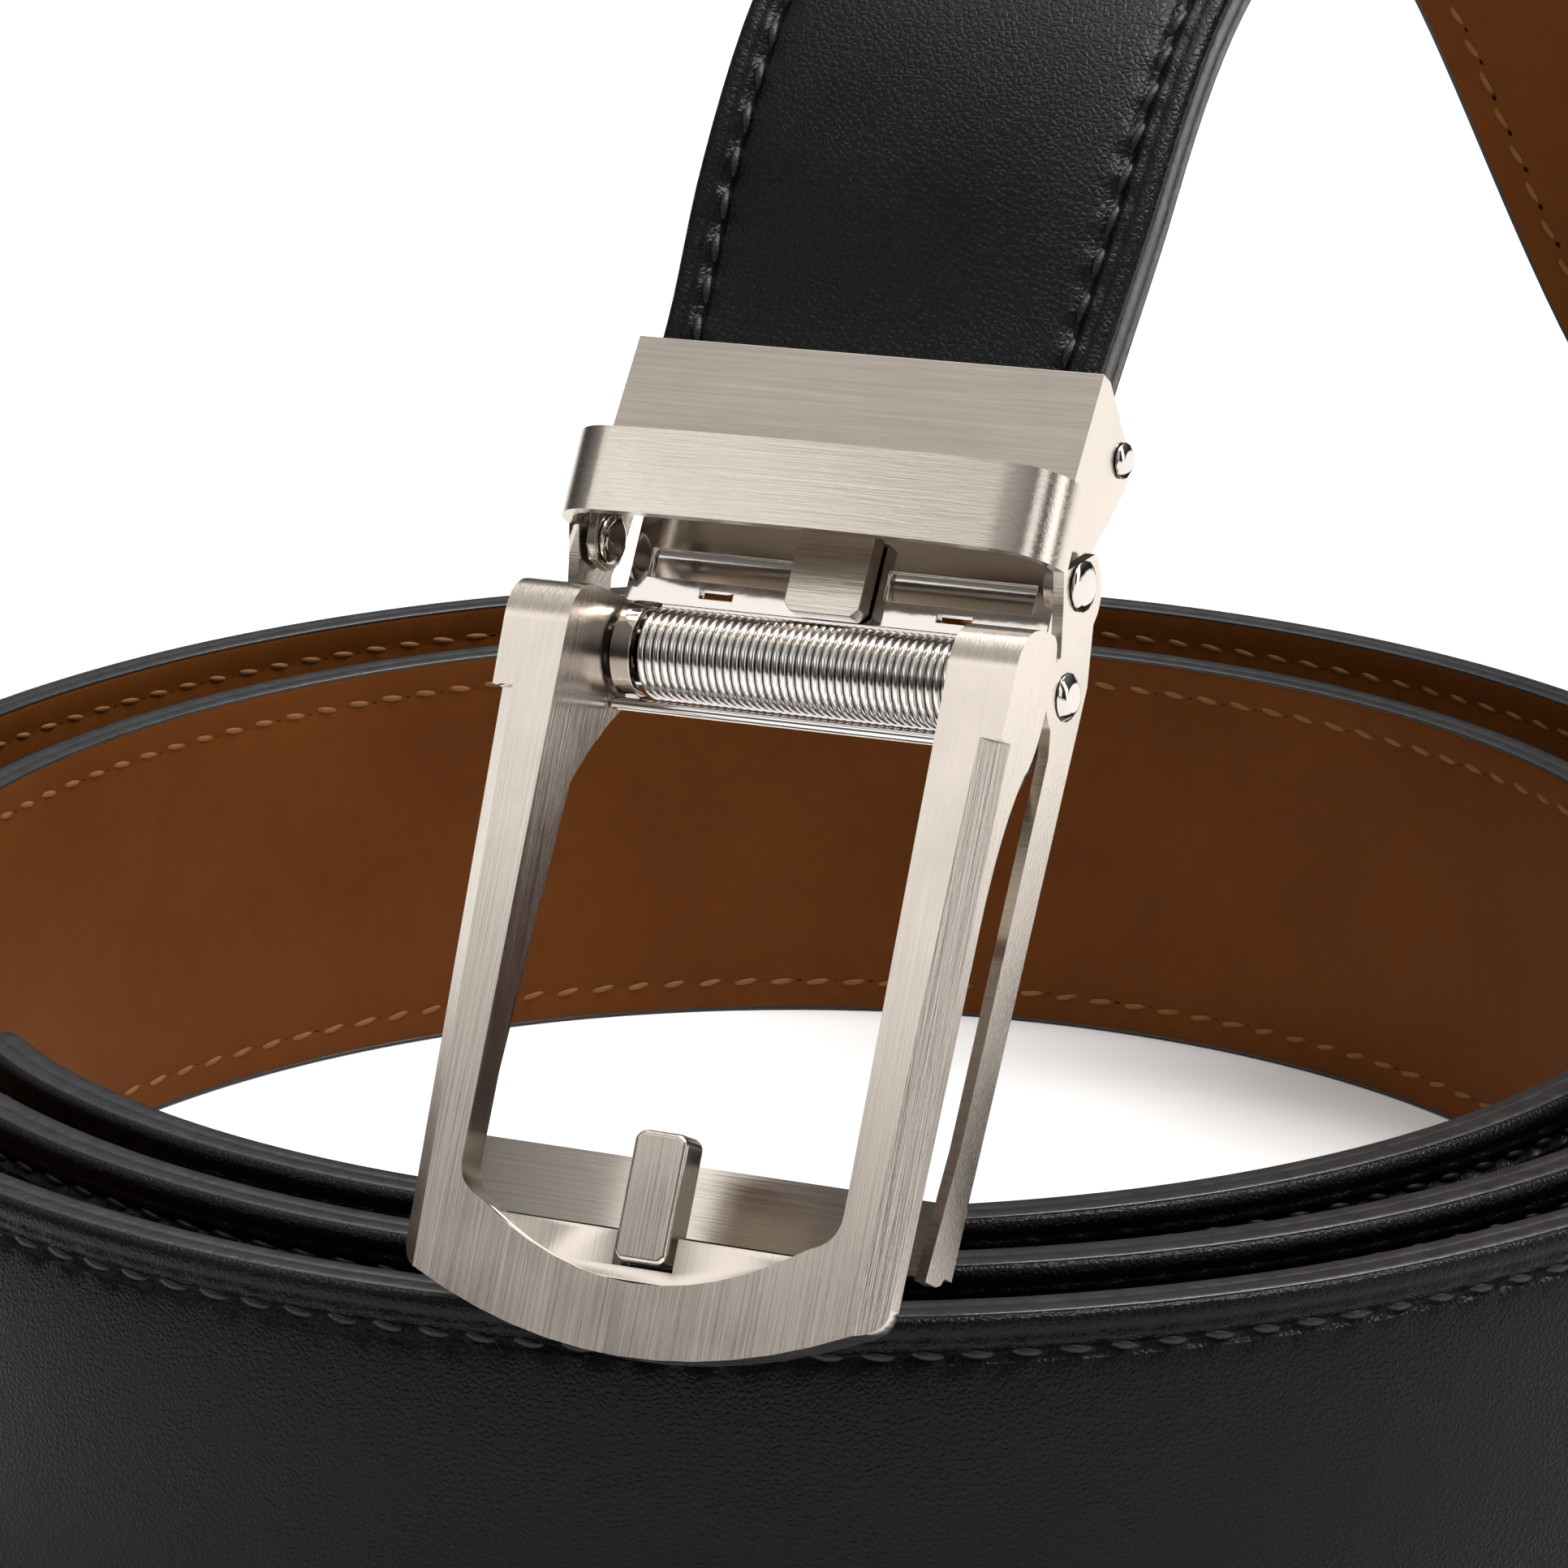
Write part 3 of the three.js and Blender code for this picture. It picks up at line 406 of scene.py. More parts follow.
@dataclass(frozen=True)
class Metal:
    """Plated metal, polished or brushed along one of the buckle's own directions."""

    name: str
    colour: tuple[float, float, float]
    roughness: float
    streak_depth: float = 0.0
    streaks: tuple[float, float, float] = (1.0, 1.0, 1.0)
    turn: tuple[float, float, float] = (0.0, 0.0, 0.0)

    def material(self) -> bpy.types.Material:
        """Builds the material."""
        board = NodeBoard(self.name)
        smear = board.noise(160.0, 3.0)
        rough = board.span(smear, 0.3, 0.7, self.roughness * 0.85, self.roughness * 1.2)
        colour = board.blend(smear, shaded(self.colour, 0.96), shaded(self.colour))
        if self.streak_depth <= 0:
            normal = board.bump(board.noise(900.0, 2.0), 0.004 * MM)
            return board.finish(Base_Color=colour, Metallic=1.0, Roughness=rough, Normal=normal)
        turned = board.add("ShaderNodeMapping", Rotation=Euler(self.turn), Vector=board.objects)
        stretched = board.add("ShaderNodeMapping", Scale=Vector(self.streaks), Vector=turned.outputs[0])
        lines = board.noise(1.0, 4.0, stretched.outputs[0], 0.7)
        normal = board.bump(lines, self.streak_depth)
        lined = board.math("ADD", rough, board.math("MULTIPLY", board.math("SUBTRACT", lines, 0.5), 0.25))
        shade = board.blend(board.span(lines, 0.3, 0.7, 0.0, 1.0), shaded(self.colour, 0.86), colour)
        return board.finish(Base_Color=shade, Metallic=1.0, Roughness=lined, Normal=normal)


@dataclass(frozen=True)
class MouldedPlastic:
    """Moulded plastic with a fine even texture."""

    name: str
    colour: tuple[float, float, float]
    roughness: float

    def material(self) -> bpy.types.Material:
        """Builds the material."""
        board = NodeBoard(self.name)
        skin = board.noise(3000.0, 2.0)
        tone = board.blend(board.noise(200.0), shaded(self.colour), shaded(self.colour, 1.3))
        rough = board.span(skin, 0.3, 0.7, self.roughness - 0.05, self.roughness + 0.05)
        return board.finish(Base_Color=tone, Roughness=rough, Normal=board.bump(skin, 0.02 * MM))


# Mesh helpers


def mesh_object(name: str, points: np.ndarray, faces: list, materials: list[bpy.types.Material],
                indices: np.ndarray | None = None) -> bpy.types.Object:
    """Makes a smooth-shaded object from points and faces.

    Args:
        name: The object's name.
        points: Places in metres, one row each.
        faces: Point numbers of each face.
        materials: The materials, in order.
        indices: The material number of each face, or None for the first.

    Returns:
        The new object, linked to the scene.
    """
    mesh = bpy.data.meshes.new(name)
    mesh.from_pydata(points.tolist(), [], [list(map(int, face)) for face in faces])
    mesh.polygons.foreach_set("use_smooth", np.ones(len(mesh.polygons), bool))
    for material in materials:
        mesh.materials.append(material)
    if indices is not None:
        mesh.polygons.foreach_set("material_index", indices.astype(np.int32))
    mesh.update()
    made = bpy.data.objects.new(name, mesh)
    bpy.context.scene.collection.objects.link(made)
    return made


def refined_copy(node: str, name: str, bevel: float, materials: list[bpy.types.Material],
                 segments: int = 2) -> bpy.types.Object:
    """Copies a CAD node's mesh into a new object and rounds its outer edges.

    Args:
        node: The CAD node to copy.
        name: The new object's name.
        bevel: The width of the rounding in millimetres.
        materials: The materials, in order.
        segments: Faces across each rounding.

    Returns:
        The new object, which replaces the node.
    """
    source = bpy.data.objects[node]
    shape = bmesh.new()
    shape.from_mesh(source.data)
    bmesh.ops.remove_doubles(shape, verts=shape.verts, dist=WELD)
    bmesh.ops.dissolve_limit(shape, angle_limit=FLAT, verts=shape.verts, edges=shape.edges)
    weights = shape.edges.layers.float.new("bevel_weight_edge")
    for edge in shape.edges:
        if edge.is_manifold and edge.is_convex and edge.calc_face_angle() > SHARP:
            edge[weights] = 1.0
    mesh = bpy.data.meshes.new(name)
    shape.to_mesh(mesh)
    shape.free()
    for material in materials:
        mesh.materials.append(material)
    mesh.polygons.foreach_set("use_smooth", np.ones(len(mesh.polygons), bool))
    made = bpy.data.objects.new(name, mesh)
    bpy.context.scene.collection.objects.link(made)
    if bevel > 0:
        rounding = made.modifiers.new("rounding", "BEVEL")
        rounding.width = bevel * MM
        rounding.segments = segments
        rounding.limit_method = "WEIGHT"
        rounding.harden_normals = True
        rounding.miter_outer = "MITER_ARC"
    even = made.modifiers.new("even_normals", "WEIGHTED_NORMAL")
    even.keep_sharp = True
    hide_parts(node)
    return made


def settled(piece: bpy.types.Object, body: Body) -> bpy.types.Object:
    """Rides a finished piece on its body.

    Args:
        piece: The piece, in place.
        body: The body that carries it.

    Returns:
        The same piece.
    """
    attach(piece, body.value)
    LOG.info("%s rides on %s: %d faces", piece.name, body.value, len(piece.data.polygons))
    return piece


def outward_faces(piece: bpy.types.Object) -> None:
    """Turns a closed mesh's faces outward."""
    shape = bmesh.new()
    shape.from_mesh(piece.data)
    bmesh.ops.recalc_face_normals(shape, faces=shape.faces)
    shape.to_mesh(piece.data)
    shape.free()


def hanging_turn(lean: float) -> Matrix:
    """Gives the turn from a hanging group's own axes to the belt's.

    Args:
        lean: Degrees that the group's Y leans back.

    Returns:
        A 3 by 3 matrix whose columns run across, up and out of the face.
    """
    turn = (math.radians(90 - lean), math.radians(-BUCKLE_ROLL), math.radians(-BUCKLE_YAW))
    return Euler(turn, "XYZ").to_matrix()


def unit(rows: np.ndarray) -> np.ndarray:
    """Scales each row to a length of one."""
    return rows / np.linalg.norm(rows, axis=1)[:, None]


# The route of the strap


def hermite(rows: tuple, value: float) -> float:
    """Reads a smooth value between the rows of a table.

    Args:
        rows: (place, value) rows in rising order of place.
        value: The place to read at.

    Returns:
        The value there.
    """
    index = 0
    while index < len(rows) - 2 and value > rows[index + 1][0]:
        index += 1
    a, b, c = rows[max(index - 1, 0)], rows[index], rows[index + 1]
    d = rows[min(index + 2, len(rows) - 1)]
    span = c[0] - b[0]
    t = (value - b[0]) / span
    plain = (c[1] - b[1]) / span
    slope_b = plain if a is b else (c[1] - a[1]) / (c[0] - a[0])
    slope_c = plain if d is c else (d[1] - b[1]) / (d[0] - b[0])
    return ((2 * t**3 - 3 * t**2 + 1) * b[1] + (t**3 - 2 * t**2 + t) * span * slope_b
            + (3 * t**2 - 2 * t**3) * c[1] + (t**3 - t**2) * span * slope_c)


def curve_point(points: np.ndarray, share: float, even: bool) -> np.ndarray:
    """Reads a Catmull-Rom curve through points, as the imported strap's route was drawn.

    Args:
        points: The points that the curve passes through.
        share: Where to read, from 0 to 1 over all the points.
        even: True for equal steps, False for steps by the root of the distance.

    Returns:
        The place on the curve.
    """
    last = len(points) - 1
    place = share * last
    index = min(int(place), last - 1)
    t = place - index
    p1, p2 = points[index], points[index + 1]
    p0 = points[index - 1] if index > 0 else 2 * p1 - p2
    p3 = points[index + 2] if index + 2 <= last else 2 * p2 - p1
    if even:
        start, end = (p2 - p0) / 2, (p3 - p1) / 2
    else:
        d0, d1, d2 = (max(math.dist(a, b), 1e-8) ** 0.5 for a, b in ((p0, p1), (p1, p2), (p2, p3)))
        start = d1 * ((p1 - p0) / d0 - (p2 - p0) / (d0 + d1) + (p2 - p1) / d1)
        end = d1 * ((p2 - p1) / d1 - (p3 - p1) / (d1 + d2) + (p3 - p2) / d2)
    return p1 + start * t + (3 * (p2 - p1) - 2 * start - end) * t**2 + (2 * (p1 - p2) + start + end) * t**3


@dataclass
class StrapRoute:
    """The strap's middle line from the clamp to the tail, with its width and face directions."""

    coil_radius: float = 70.0
    arch_height: float = 133.0
    width: float = 35.0
    clamped_width: float = 34.0
    strap_end_rise: float = 5.2
    clamp_top: float = 14.1
    neck_straight: float = 2.0
    neck_length: float = 14.0
    tail_rounding: float = 9.0
    tail_narrowing: float = 0.3
    coil_start: float = -37.5
    tail_angle: float = 795.0
    coil_step: float = 15.0
    swivel_shares: tuple[float, float, float] = (0.013, -0.963, 0.611)
    coil_centre: tuple[float, float, float] = (-7.7515, 7.6551, 0.0)
    # Degrees turned and the radius there as a share of coil_radius
    turn_rows: tuple = (
        (-45, 1.252), (0, 1.246), (90, 1.205), (180, 1.222), (270, 1.155), (360, 1.119),
        (450, 1.062), (540, 1.004), (630, 1.002), (720, 1.0), (800, 0.994))
    # x and y as shares of coil_radius, the rise as a share of the arch's, and the width's direction
    arch_rows: tuple = (
        (0.18, -0.585, 0.836, (0.92, -0.38, 0.04)),
        (0.375, -0.19, 0.952, (0.97, -0.22, 0.03)),
        (0.566, 0.18, 1.0, (0.95, -0.29, 0.1)),
        (0.766, 0.536, 0.91, (0.9, -0.33, 0.27)),
        (0.943, 0.766, 0.74, (0.86, -0.25, 0.44)),
        (1.121, 0.736, 0.5, (0.75, -0.3, 0.59)),
        (1.307, 0.52, 0.285, (0.5, -0.4, 0.77)),
        (1.371, 0.143, 0.135, (0.2, -0.3, 0.93)),
        (1.321, -0.25, 0.05, (0.05, -0.15, 0.99)),
        (1.186, -0.55, 0.01, (0.0, -0.02, 1.0)),
        (1.0, -0.793, 0.0, (0.0, 0.0, 1.0)))
    samples: int = 12
    place: np.ndarray = field(init=False)
    travel: np.ndarray = field(init=False)
    across: np.ndarray = field(init=False)
    out: np.ndarray = field(init=False)
    length: np.ndarray = field(init=False)

    def __post_init__(self) -> None:
        """Samples the route once."""
        points, widths = self.controls()
        last = len(points) - 1
        shares = np.linspace(0.0, 1.0, last * self.samples + 1)
        place = np.array([curve_point(points, share, False) for share in shares])
        step = 1e-4
        ahead = np.array([curve_point(points, min(share + step, 1.0), False) for share in shares])
        behind = np.array([curve_point(points, max(share - step, 0.0), False) for share in shares])
        across = np.array([curve_point(widths, share, True) for share in shares])
        place[:, 2] = np.maximum(place[:, 2], self.width / 2)
        self.travel = unit(ahead - behind)
        across -= self.travel * np.sum(across * self.travel, axis=1)[:, None]
        self.across = unit(across)
        self.out = unit(np.cross(self.across, self.travel))
        self.place = place + np.array(self.coil_centre)
        steps = np.linalg.norm(np.diff(self.place, axis=0), axis=1)
        self.length = np.concatenate([[0.0], np.cumsum(steps)])

    def controls(self) -> tuple[np.ndarray, np.ndarray]:
        """Gives the points that the strap passes through, and its width direction at each.

        Returns:
            The places and the width directions, one row each, round the coil's own centre.
        """
        middle = self.width / 2
        clamp = hanging_turn(Lean.CLAMP.value)
        swivel = np.array(self.swivel_shares) * (self.coil_radius, self.coil_radius, self.arch_height)
        up, over = np.array(clamp.col[1]), np.array(clamp.col[0])
        points = [swivel + up * self.strap_end_rise, swivel + up * (self.clamp_top + self.neck_straight)]
        widths = [over, over]
        for x, y, rise, across in self.arch_rows:
            z = middle + rise * (self.arch_height - middle)
            points.append(np.array((x * self.coil_radius, y * self.coil_radius, z)))
            widths.append(np.array(across) / np.linalg.norm(across))
        for turned in np.arange(self.coil_start, self.tail_angle + 0.1, self.coil_step):
            radius = self.coil_radius * hermite(self.turn_rows, turned)
            angle = math.radians(-90 - turned)
            points.append(np.array((radius * math.cos(angle), radius * math.sin(angle), middle)))
            widths.append(np.array((0.0, 0.0, 1.0)))
        return np.array(points), np.array(widths)

    @property
    def total(self) -> float:
        """The strap's length in millimetres."""
        return float(self.length[-1])

    def fullness(self, length: np.ndarray) -> np.ndarray:
        """Gives how far the strap has grown from its flat clamped end, from 0 to 1."""
        start = self.clamp_top - self.strap_end_rise
        share = np.clip((length - start) / self.neck_length, 0.0, 1.0)
        return share * share * (3 - 2 * share)

    def half_width(self, length: np.ndarray) -> np.ndarray:
        """Gives half the strap's width at lengths along it.

        Args:
            length: Lengths from the clamped end in millimetres.

        Returns:
            Half widths in millimetres.
        """
        half = (self.clamped_width + (self.width - self.clamped_width) * self.fullness(length)) / 2
        share = np.clip(1 - (self.total - length) / self.tail_rounding, 0.0, 1.0)
        return half * (1 - self.tail_narrowing * share**2)

    def at(self, length: np.ndarray) -> tuple[np.ndarray, np.ndarray, np.ndarray, np.ndarray]:
        """Reads the place, travel, width and face directions at lengths along the strap.

        Args:
            length: Lengths in millimetres.

        Returns:
            Four arrays with one row for each length.
        """
        rows = [np.stack([np.interp(length, self.length, table[:, axis]) for axis in range(3)], axis=1)
                for table in (self.place, self.travel, self.across, self.out)]
        return rows[0], unit(rows[1]), unit(rows[2]), unit(rows[3])


def swivel_place() -> np.ndarray:
    """Gives the swivel axis's middle in the belt's frame, in millimetres."""
    radius, height = StrapRoute.coil_radius, StrapRoute.arch_height
    return np.array(StrapRoute.swivel_shares) * (radius, radius, height) + np.array(StrapRoute.coil_centre)


# The strap


@dataclass
class Strap:
    """The leather strap: grained face, smooth lining, painted edges and two stitched rows a side."""

    route: StrapRoute
    bond: float = 0.05
    face_thickness: float = 2.0
    crown: float = 0.9
    lining_thickness: float = 1.3
    paint: float = 0.1
    # Length, width and height of one stitch
    face_stitch: tuple[float, float, float] = (2.5, 0.74, 0.54)
    lining_stitch: tuple[float, float, float] = (2.25, 0.52, 0.34)
    stitch_rings: int = 7
    stitch_sides: int = 8
    stitch_slant: float = 0.17
    slant_wander: float = 0.03
    length_wander: float = 0.04
    hole_share: float = 0.54
    hole_narrowing: float = 0.62
    hole_lift: float = 0.02
    face_groove: float = 0.87
    lining_groove: float = 0.94
    seed: int = 7
    # Distance in from the edge, share of the thickness and share of the crown
    face_rows: tuple = (
        (0.0, 0.0, 0.0), (0.0, 0.72, 0.0), (0.1, 0.86, 0.0), (0.35, 0.97, 0.0), (0.75, 1.0, 0.0),
        (1.2, 1.0, 0.0), (1.4, 0.94, 0.0), (1.6, 1.0, 0.0), (2.1, 1.0, 0.0), (2.4, 0.95, 0.0),
        (2.75, 0.86, 0.0), (3.1, 0.93, 0.04), (3.5, 0.99, 0.14), (4.2, 1.0, 0.3), (5.2, 1.0, 0.46),
        (7.0, 1.0, 0.66), (9.5, 1.0, 0.84), (13.0, 1.0, 0.96), (17.5, 1.0, 1.0))
    # Distance in from the edge and share of the thickness
    lining_rows: tuple = (
        (0.0, 0.0), (0.0, 0.8), (0.15, 0.95), (0.5, 1.0), (1.3, 1.0), (2.3, 1.0), (2.75, 0.93),
        (3.2, 1.0), (6.0, 1.0), (11.0, 1.0), (17.5, 1.0))
    # Distance in from the edge and height over the bond line
    edge_rows: tuple = (
        (0.35, -1.3), (0.12, -1.36), (0.03, -1.2), (0.0, -0.9), (0.0, -0.5), (0.03, -0.18), (0.1, -0.02),
        (0.04, 0.14), (0.0, 0.5), (0.0, 1.0), (0.04, 1.32), (0.16, 1.5), (0.4, 1.4))

    def build(self, finishes: dict[str, bpy.types.Material]) -> list[bpy.types.Object]:
        """Builds and dresses every piece of the strap.

        Args:
            finishes: The materials by name.

        Returns:
            The pieces.
        """
        face = self.leaf("strap_grain", StrapSide.FACE, [finishes["grain"]])
        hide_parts("strap_face")
        lining = self.leaf("strap_lining_skin", StrapSide.LINING, [finishes["lining"]])
        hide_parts("strap_lining")
        pieces = [settled(face, Body.STRAP)]
        pieces.append(settled(lining, Body.STRAP))
        for side, name in ((1, "edge_paint_right"), (-1, "edge_paint_left")):
            edge = self.painted_edge(name, side, [finishes["edge"]])
            pieces.append(settled(edge, Body.STRAP))
        hole = finishes["hole"]
        thread = self.stitches("face_stitches", StrapSide.FACE, [finishes["dark_thread"], hole])
        pieces.append(settled(thread, Body.STRAP))
        thread = self.stitches("lining_stitches", StrapSide.LINING, [finishes["tan_thread"], hole])
        pieces.append(settled(thread, Body.STRAP))
        return pieces

    def swept(self, name: str, across: np.ndarray, out: np.ndarray,
              materials: list[bpy.types.Material]) -> bpy.types.Object:
        """Sweeps a closed section along the route.

        Args:
            name: The piece's name.
            across: Places along the width, one row for each station and one column for each corner.
            out: Heights off the bond line, of the same shape.
            materials: The piece's materials.

        Returns:
            The new piece, with its two ends closed.
        """
        route = self.route
        stations, corners = across.shape
        points = (route.place[:, None, :] + across[:, :, None] * route.across[:, None, :]
                  + out[:, :, None] * route.out[:, None, :])
        first = np.arange(stations - 1)[:, None] * corners + np.arange(corners)[None, :]
        second = np.arange(stations - 1)[:, None] * corners + (np.arange(corners)[None, :] + 1) % corners
        faces = np.stack([first, first + corners, second + corners, second], axis=2).reshape(-1, 4).tolist()
        faces.append(list(range(corners)))
        faces.append(list(range(stations * corners - 1, (stations - 1) * corners - 1, -1)))
        return mesh_object(name, points.reshape(-1, 3) * MM, faces, materials)

    def leaf(self, name: str, side: StrapSide, materials: list[bpy.types.Material]) -> bpy.types.Object:
        """Builds the grained face or the lining.

        Args:
            name: The piece's name.
            side: Which of the two it is.
            materials: The piece's materials.

        Returns:
            The new piece.
        """
        half = self.route.half_width(self.route.length)[:, None] - self.paint
        full = self.route.fullness(self.route.length)[:, None]
        scale = half / (self.route.width / 2 - self.paint)
        if side is StrapSide.FACE:
            rows = np.array(self.face_rows)
            rise = rows[:, 1] * self.face_thickness + full * rows[:, 2] * self.crown
        else:
            rows = np.array(self.lining_rows)
            rise = np.repeat(rows[None, :, 1] * self.lining_thickness, len(half), axis=0)
        inner = half - rows[None, :, 0] * scale
        across = np.concatenate([inner, -inner[:, -2::-1]], axis=1)
        out = side.value * (self.bond + np.concatenate([rise, rise[:, -2::-1]], axis=1))
        if side is StrapSide.LINING:
            across = -across
        leaf = self.swept(name, across, out, materials)
        layer = leaf.data.uv_layers.new(name=STRAP_MAP)
        along = np.repeat(self.route.length, across.shape[1])
        inward = (half + self.paint - np.abs(across)).ravel()
        numbers = np.empty(len(leaf.data.loops), np.int32)
        leaf.data.loops.foreach_get("vertex_index", numbers)
        layer.data.foreach_set("uv", (np.stack([along, inward], axis=1)[numbers] * MM).ravel())
        return leaf

    def painted_edge(self, name: str, side: int, materials: list[bpy.types.Material]) -> bpy.types.Object:
        """Builds the paint along one cut edge.

        Args:
            name: The piece's name.
            side: 1 for the right edge and -1 for the left, seen from the face.
            materials: The piece's materials.

        Returns:
            The new piece.
        """
        rows = np.array(self.edge_rows)
        half = self.route.half_width(self.route.length)[:, None]
        across = side * (half - rows[None, :, 0])
        out = np.repeat(rows[None, :, 1], len(half), axis=0)
        if side < 0:
            across, out = across[:, ::-1], out[:, ::-1]
        return self.swept(name, across, out, materials)

    def stitches(self, name: str, side: StrapSide, materials: list[bpy.types.Material]) -> bpy.types.Object:
        """Sews two rows of stitches, with a dark disc of painted shade for the needle hole between each
        two.

        Args:
            name: The piece's name.
            side: The face that the rows lie on.
            materials: The thread's material and the painted-shade material of the holes.

        Returns:
            The new piece.
        """
        random = np.random.default_rng(self.seed + side.value)
        lengths = np.arange(SEAM_START, self.route.total - self.route.tail_rounding, SEAM_PITCH)
        rings, around = self.stitch_rings, self.stitch_sides
        length, width, height = self.face_stitch if side is StrapSide.FACE else self.lining_stitch
        bow = np.sin(np.linspace(0.0, math.pi, rings))
        girth = 0.45 + 0.55 * bow**0.6
        angles = np.linspace(0.0, 2 * math.pi, around, endpoint=False)
        along = np.repeat(np.linspace(-0.5, 0.5, rings) * length, around)
        wide = (girth[:, None] * np.cos(angles)[None, :]).ravel() * width / 2
        tall = (girth[:, None] * np.sin(angles)[None, :] + 0.9 * (bow - 0.6)[:, None]).ravel()
        tall *= height / 2
        sides = [[r * around + a, r * around + (a + 1) % around, (r + 1) * around + (a + 1) % around,
                  (r + 1) * around + a] for r in range(rings - 1) for a in range(around)]
        caps = [list(range(around))[::-1], list(range((rings - 1) * around, rings * around))]
        hole_ring = np.stack([np.cos(angles), np.sin(angles) * self.hole_narrowing], axis=1)
        hole_ring *= width * self.hole_share
        points, faces, slots = [], [], []
        for edge in (1, -1):
            place, travel, across, out = self.route.at(lengths)
            inset = self.route.half_width(lengths) - SEAM_INSET
            level = self.bond + self.surface_at(side)
            slant = edge * self.stitch_slant * side.value
            for index in range(len(lengths)):
                tilt = slant + random.normal(0.0, self.slant_wander)
                ahead = travel[index] * math.cos(tilt) + across[index] * math.sin(tilt)
                beside = across[index] * math.cos(tilt) - travel[index] * math.sin(tilt)
                lift = out[index] * side.value
                middle = place[index] + across[index] * edge * inset[index] + lift * level
                first = len(points)
                stretch = random.normal(1.0, self.length_wander)
                points.extend(middle + along[:, None] * stretch * ahead + wide[:, None] * beside
                              + tall[:, None] * lift)
                flip = side is StrapSide.LINING
                for corner in sides + caps:
                    faces.append([first + c for c in (corner[::-1] if flip else corner)])
                    slots.append(0)
                # Each needle hole is a flat near-black disc just over the leather: painted shade in place
                # of a real hole.
                hole = middle + ahead * SEAM_PITCH / 2 + lift * self.hole_lift
                first = len(points)
                points.extend(hole + hole_ring[:, :1] * ahead + hole_ring[:, 1:] * beside)
                faces.append([first + c for c in range(around)][::-1 if flip else 1])
                slots.append(1)
        return mesh_object(name, np.array(points) * MM, faces, materials, np.array(slots))

    def surface_at(self, side: StrapSide) -> float:
        """Gives the height of the groove that the stitches lie in, off the bond line."""
        if side is StrapSide.FACE:
            return self.face_thickness * self.face_groove
        return self.lining_thickness * self.lining_groove


# The buckle


@dataclass(frozen=True)
class RoundedCopy:
    """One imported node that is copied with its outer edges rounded, by so many millimetres."""

    node: str
    name: str
    finish: str
    bevel: float
    body: Body
    slot: Slot
    segments: int = 2

    def build(self, finishes: dict[str, bpy.types.Material]) -> bpy.types.Object:
        """Copies the node and rides the copy on its body.

        Args:
            finishes: The materials by name.

        Returns:
            The piece.
        """
        piece = refined_copy(self.node, self.name, self.bevel, [finishes[self.finish]], self.segments)
        return settled(piece, self.body)


@dataclass
class Fitting:
    """A part of the belt that is made of rounded copies."""

    copies: tuple[RoundedCopy, ...] = ()

    def build(self, finishes: dict[str, bpy.types.Material]) -> list[bpy.types.Object]:
        """Builds the part's pieces.

        Args:
            finishes: The materials by name.

        Returns:
            The pieces.
        """
        return [copy.build(finishes) for copy in self.copies]


@dataclass
class RatchetTrack(Fitting):
    """The toothed plastic track sewn to the lining by the tail."""

    copies: tuple[RoundedCopy, ...] = (
        RoundedCopy("ratchet_track", "toothed_track", "plastic", 0.08, Body.STRAP, Slot.BLACK_PLASTIC, 1),
    )


@dataclass
class Clamp(Fitting):
    """The clamp on the strap's end: brushed front, pinned sides and a toothed jaw behind."""

    copies: tuple[RoundedCopy, ...] = (
        RoundedCopy("clamp_box", "clamp_cover", "clamp_brushed", 0.16, Body.STRAP, Slot.BRUSHED_NICKEL, 3),
        RoundedCopy("clamp_jaw", "clamp_teeth", "polished", 0.08, Body.JAW, Slot.POLISHED_NICKEL),
        RoundedCopy("clamp_pin", "clamp_rivet", "polished", 0.08, Body.STRAP, Slot.POLISHED_NICKEL),
    )


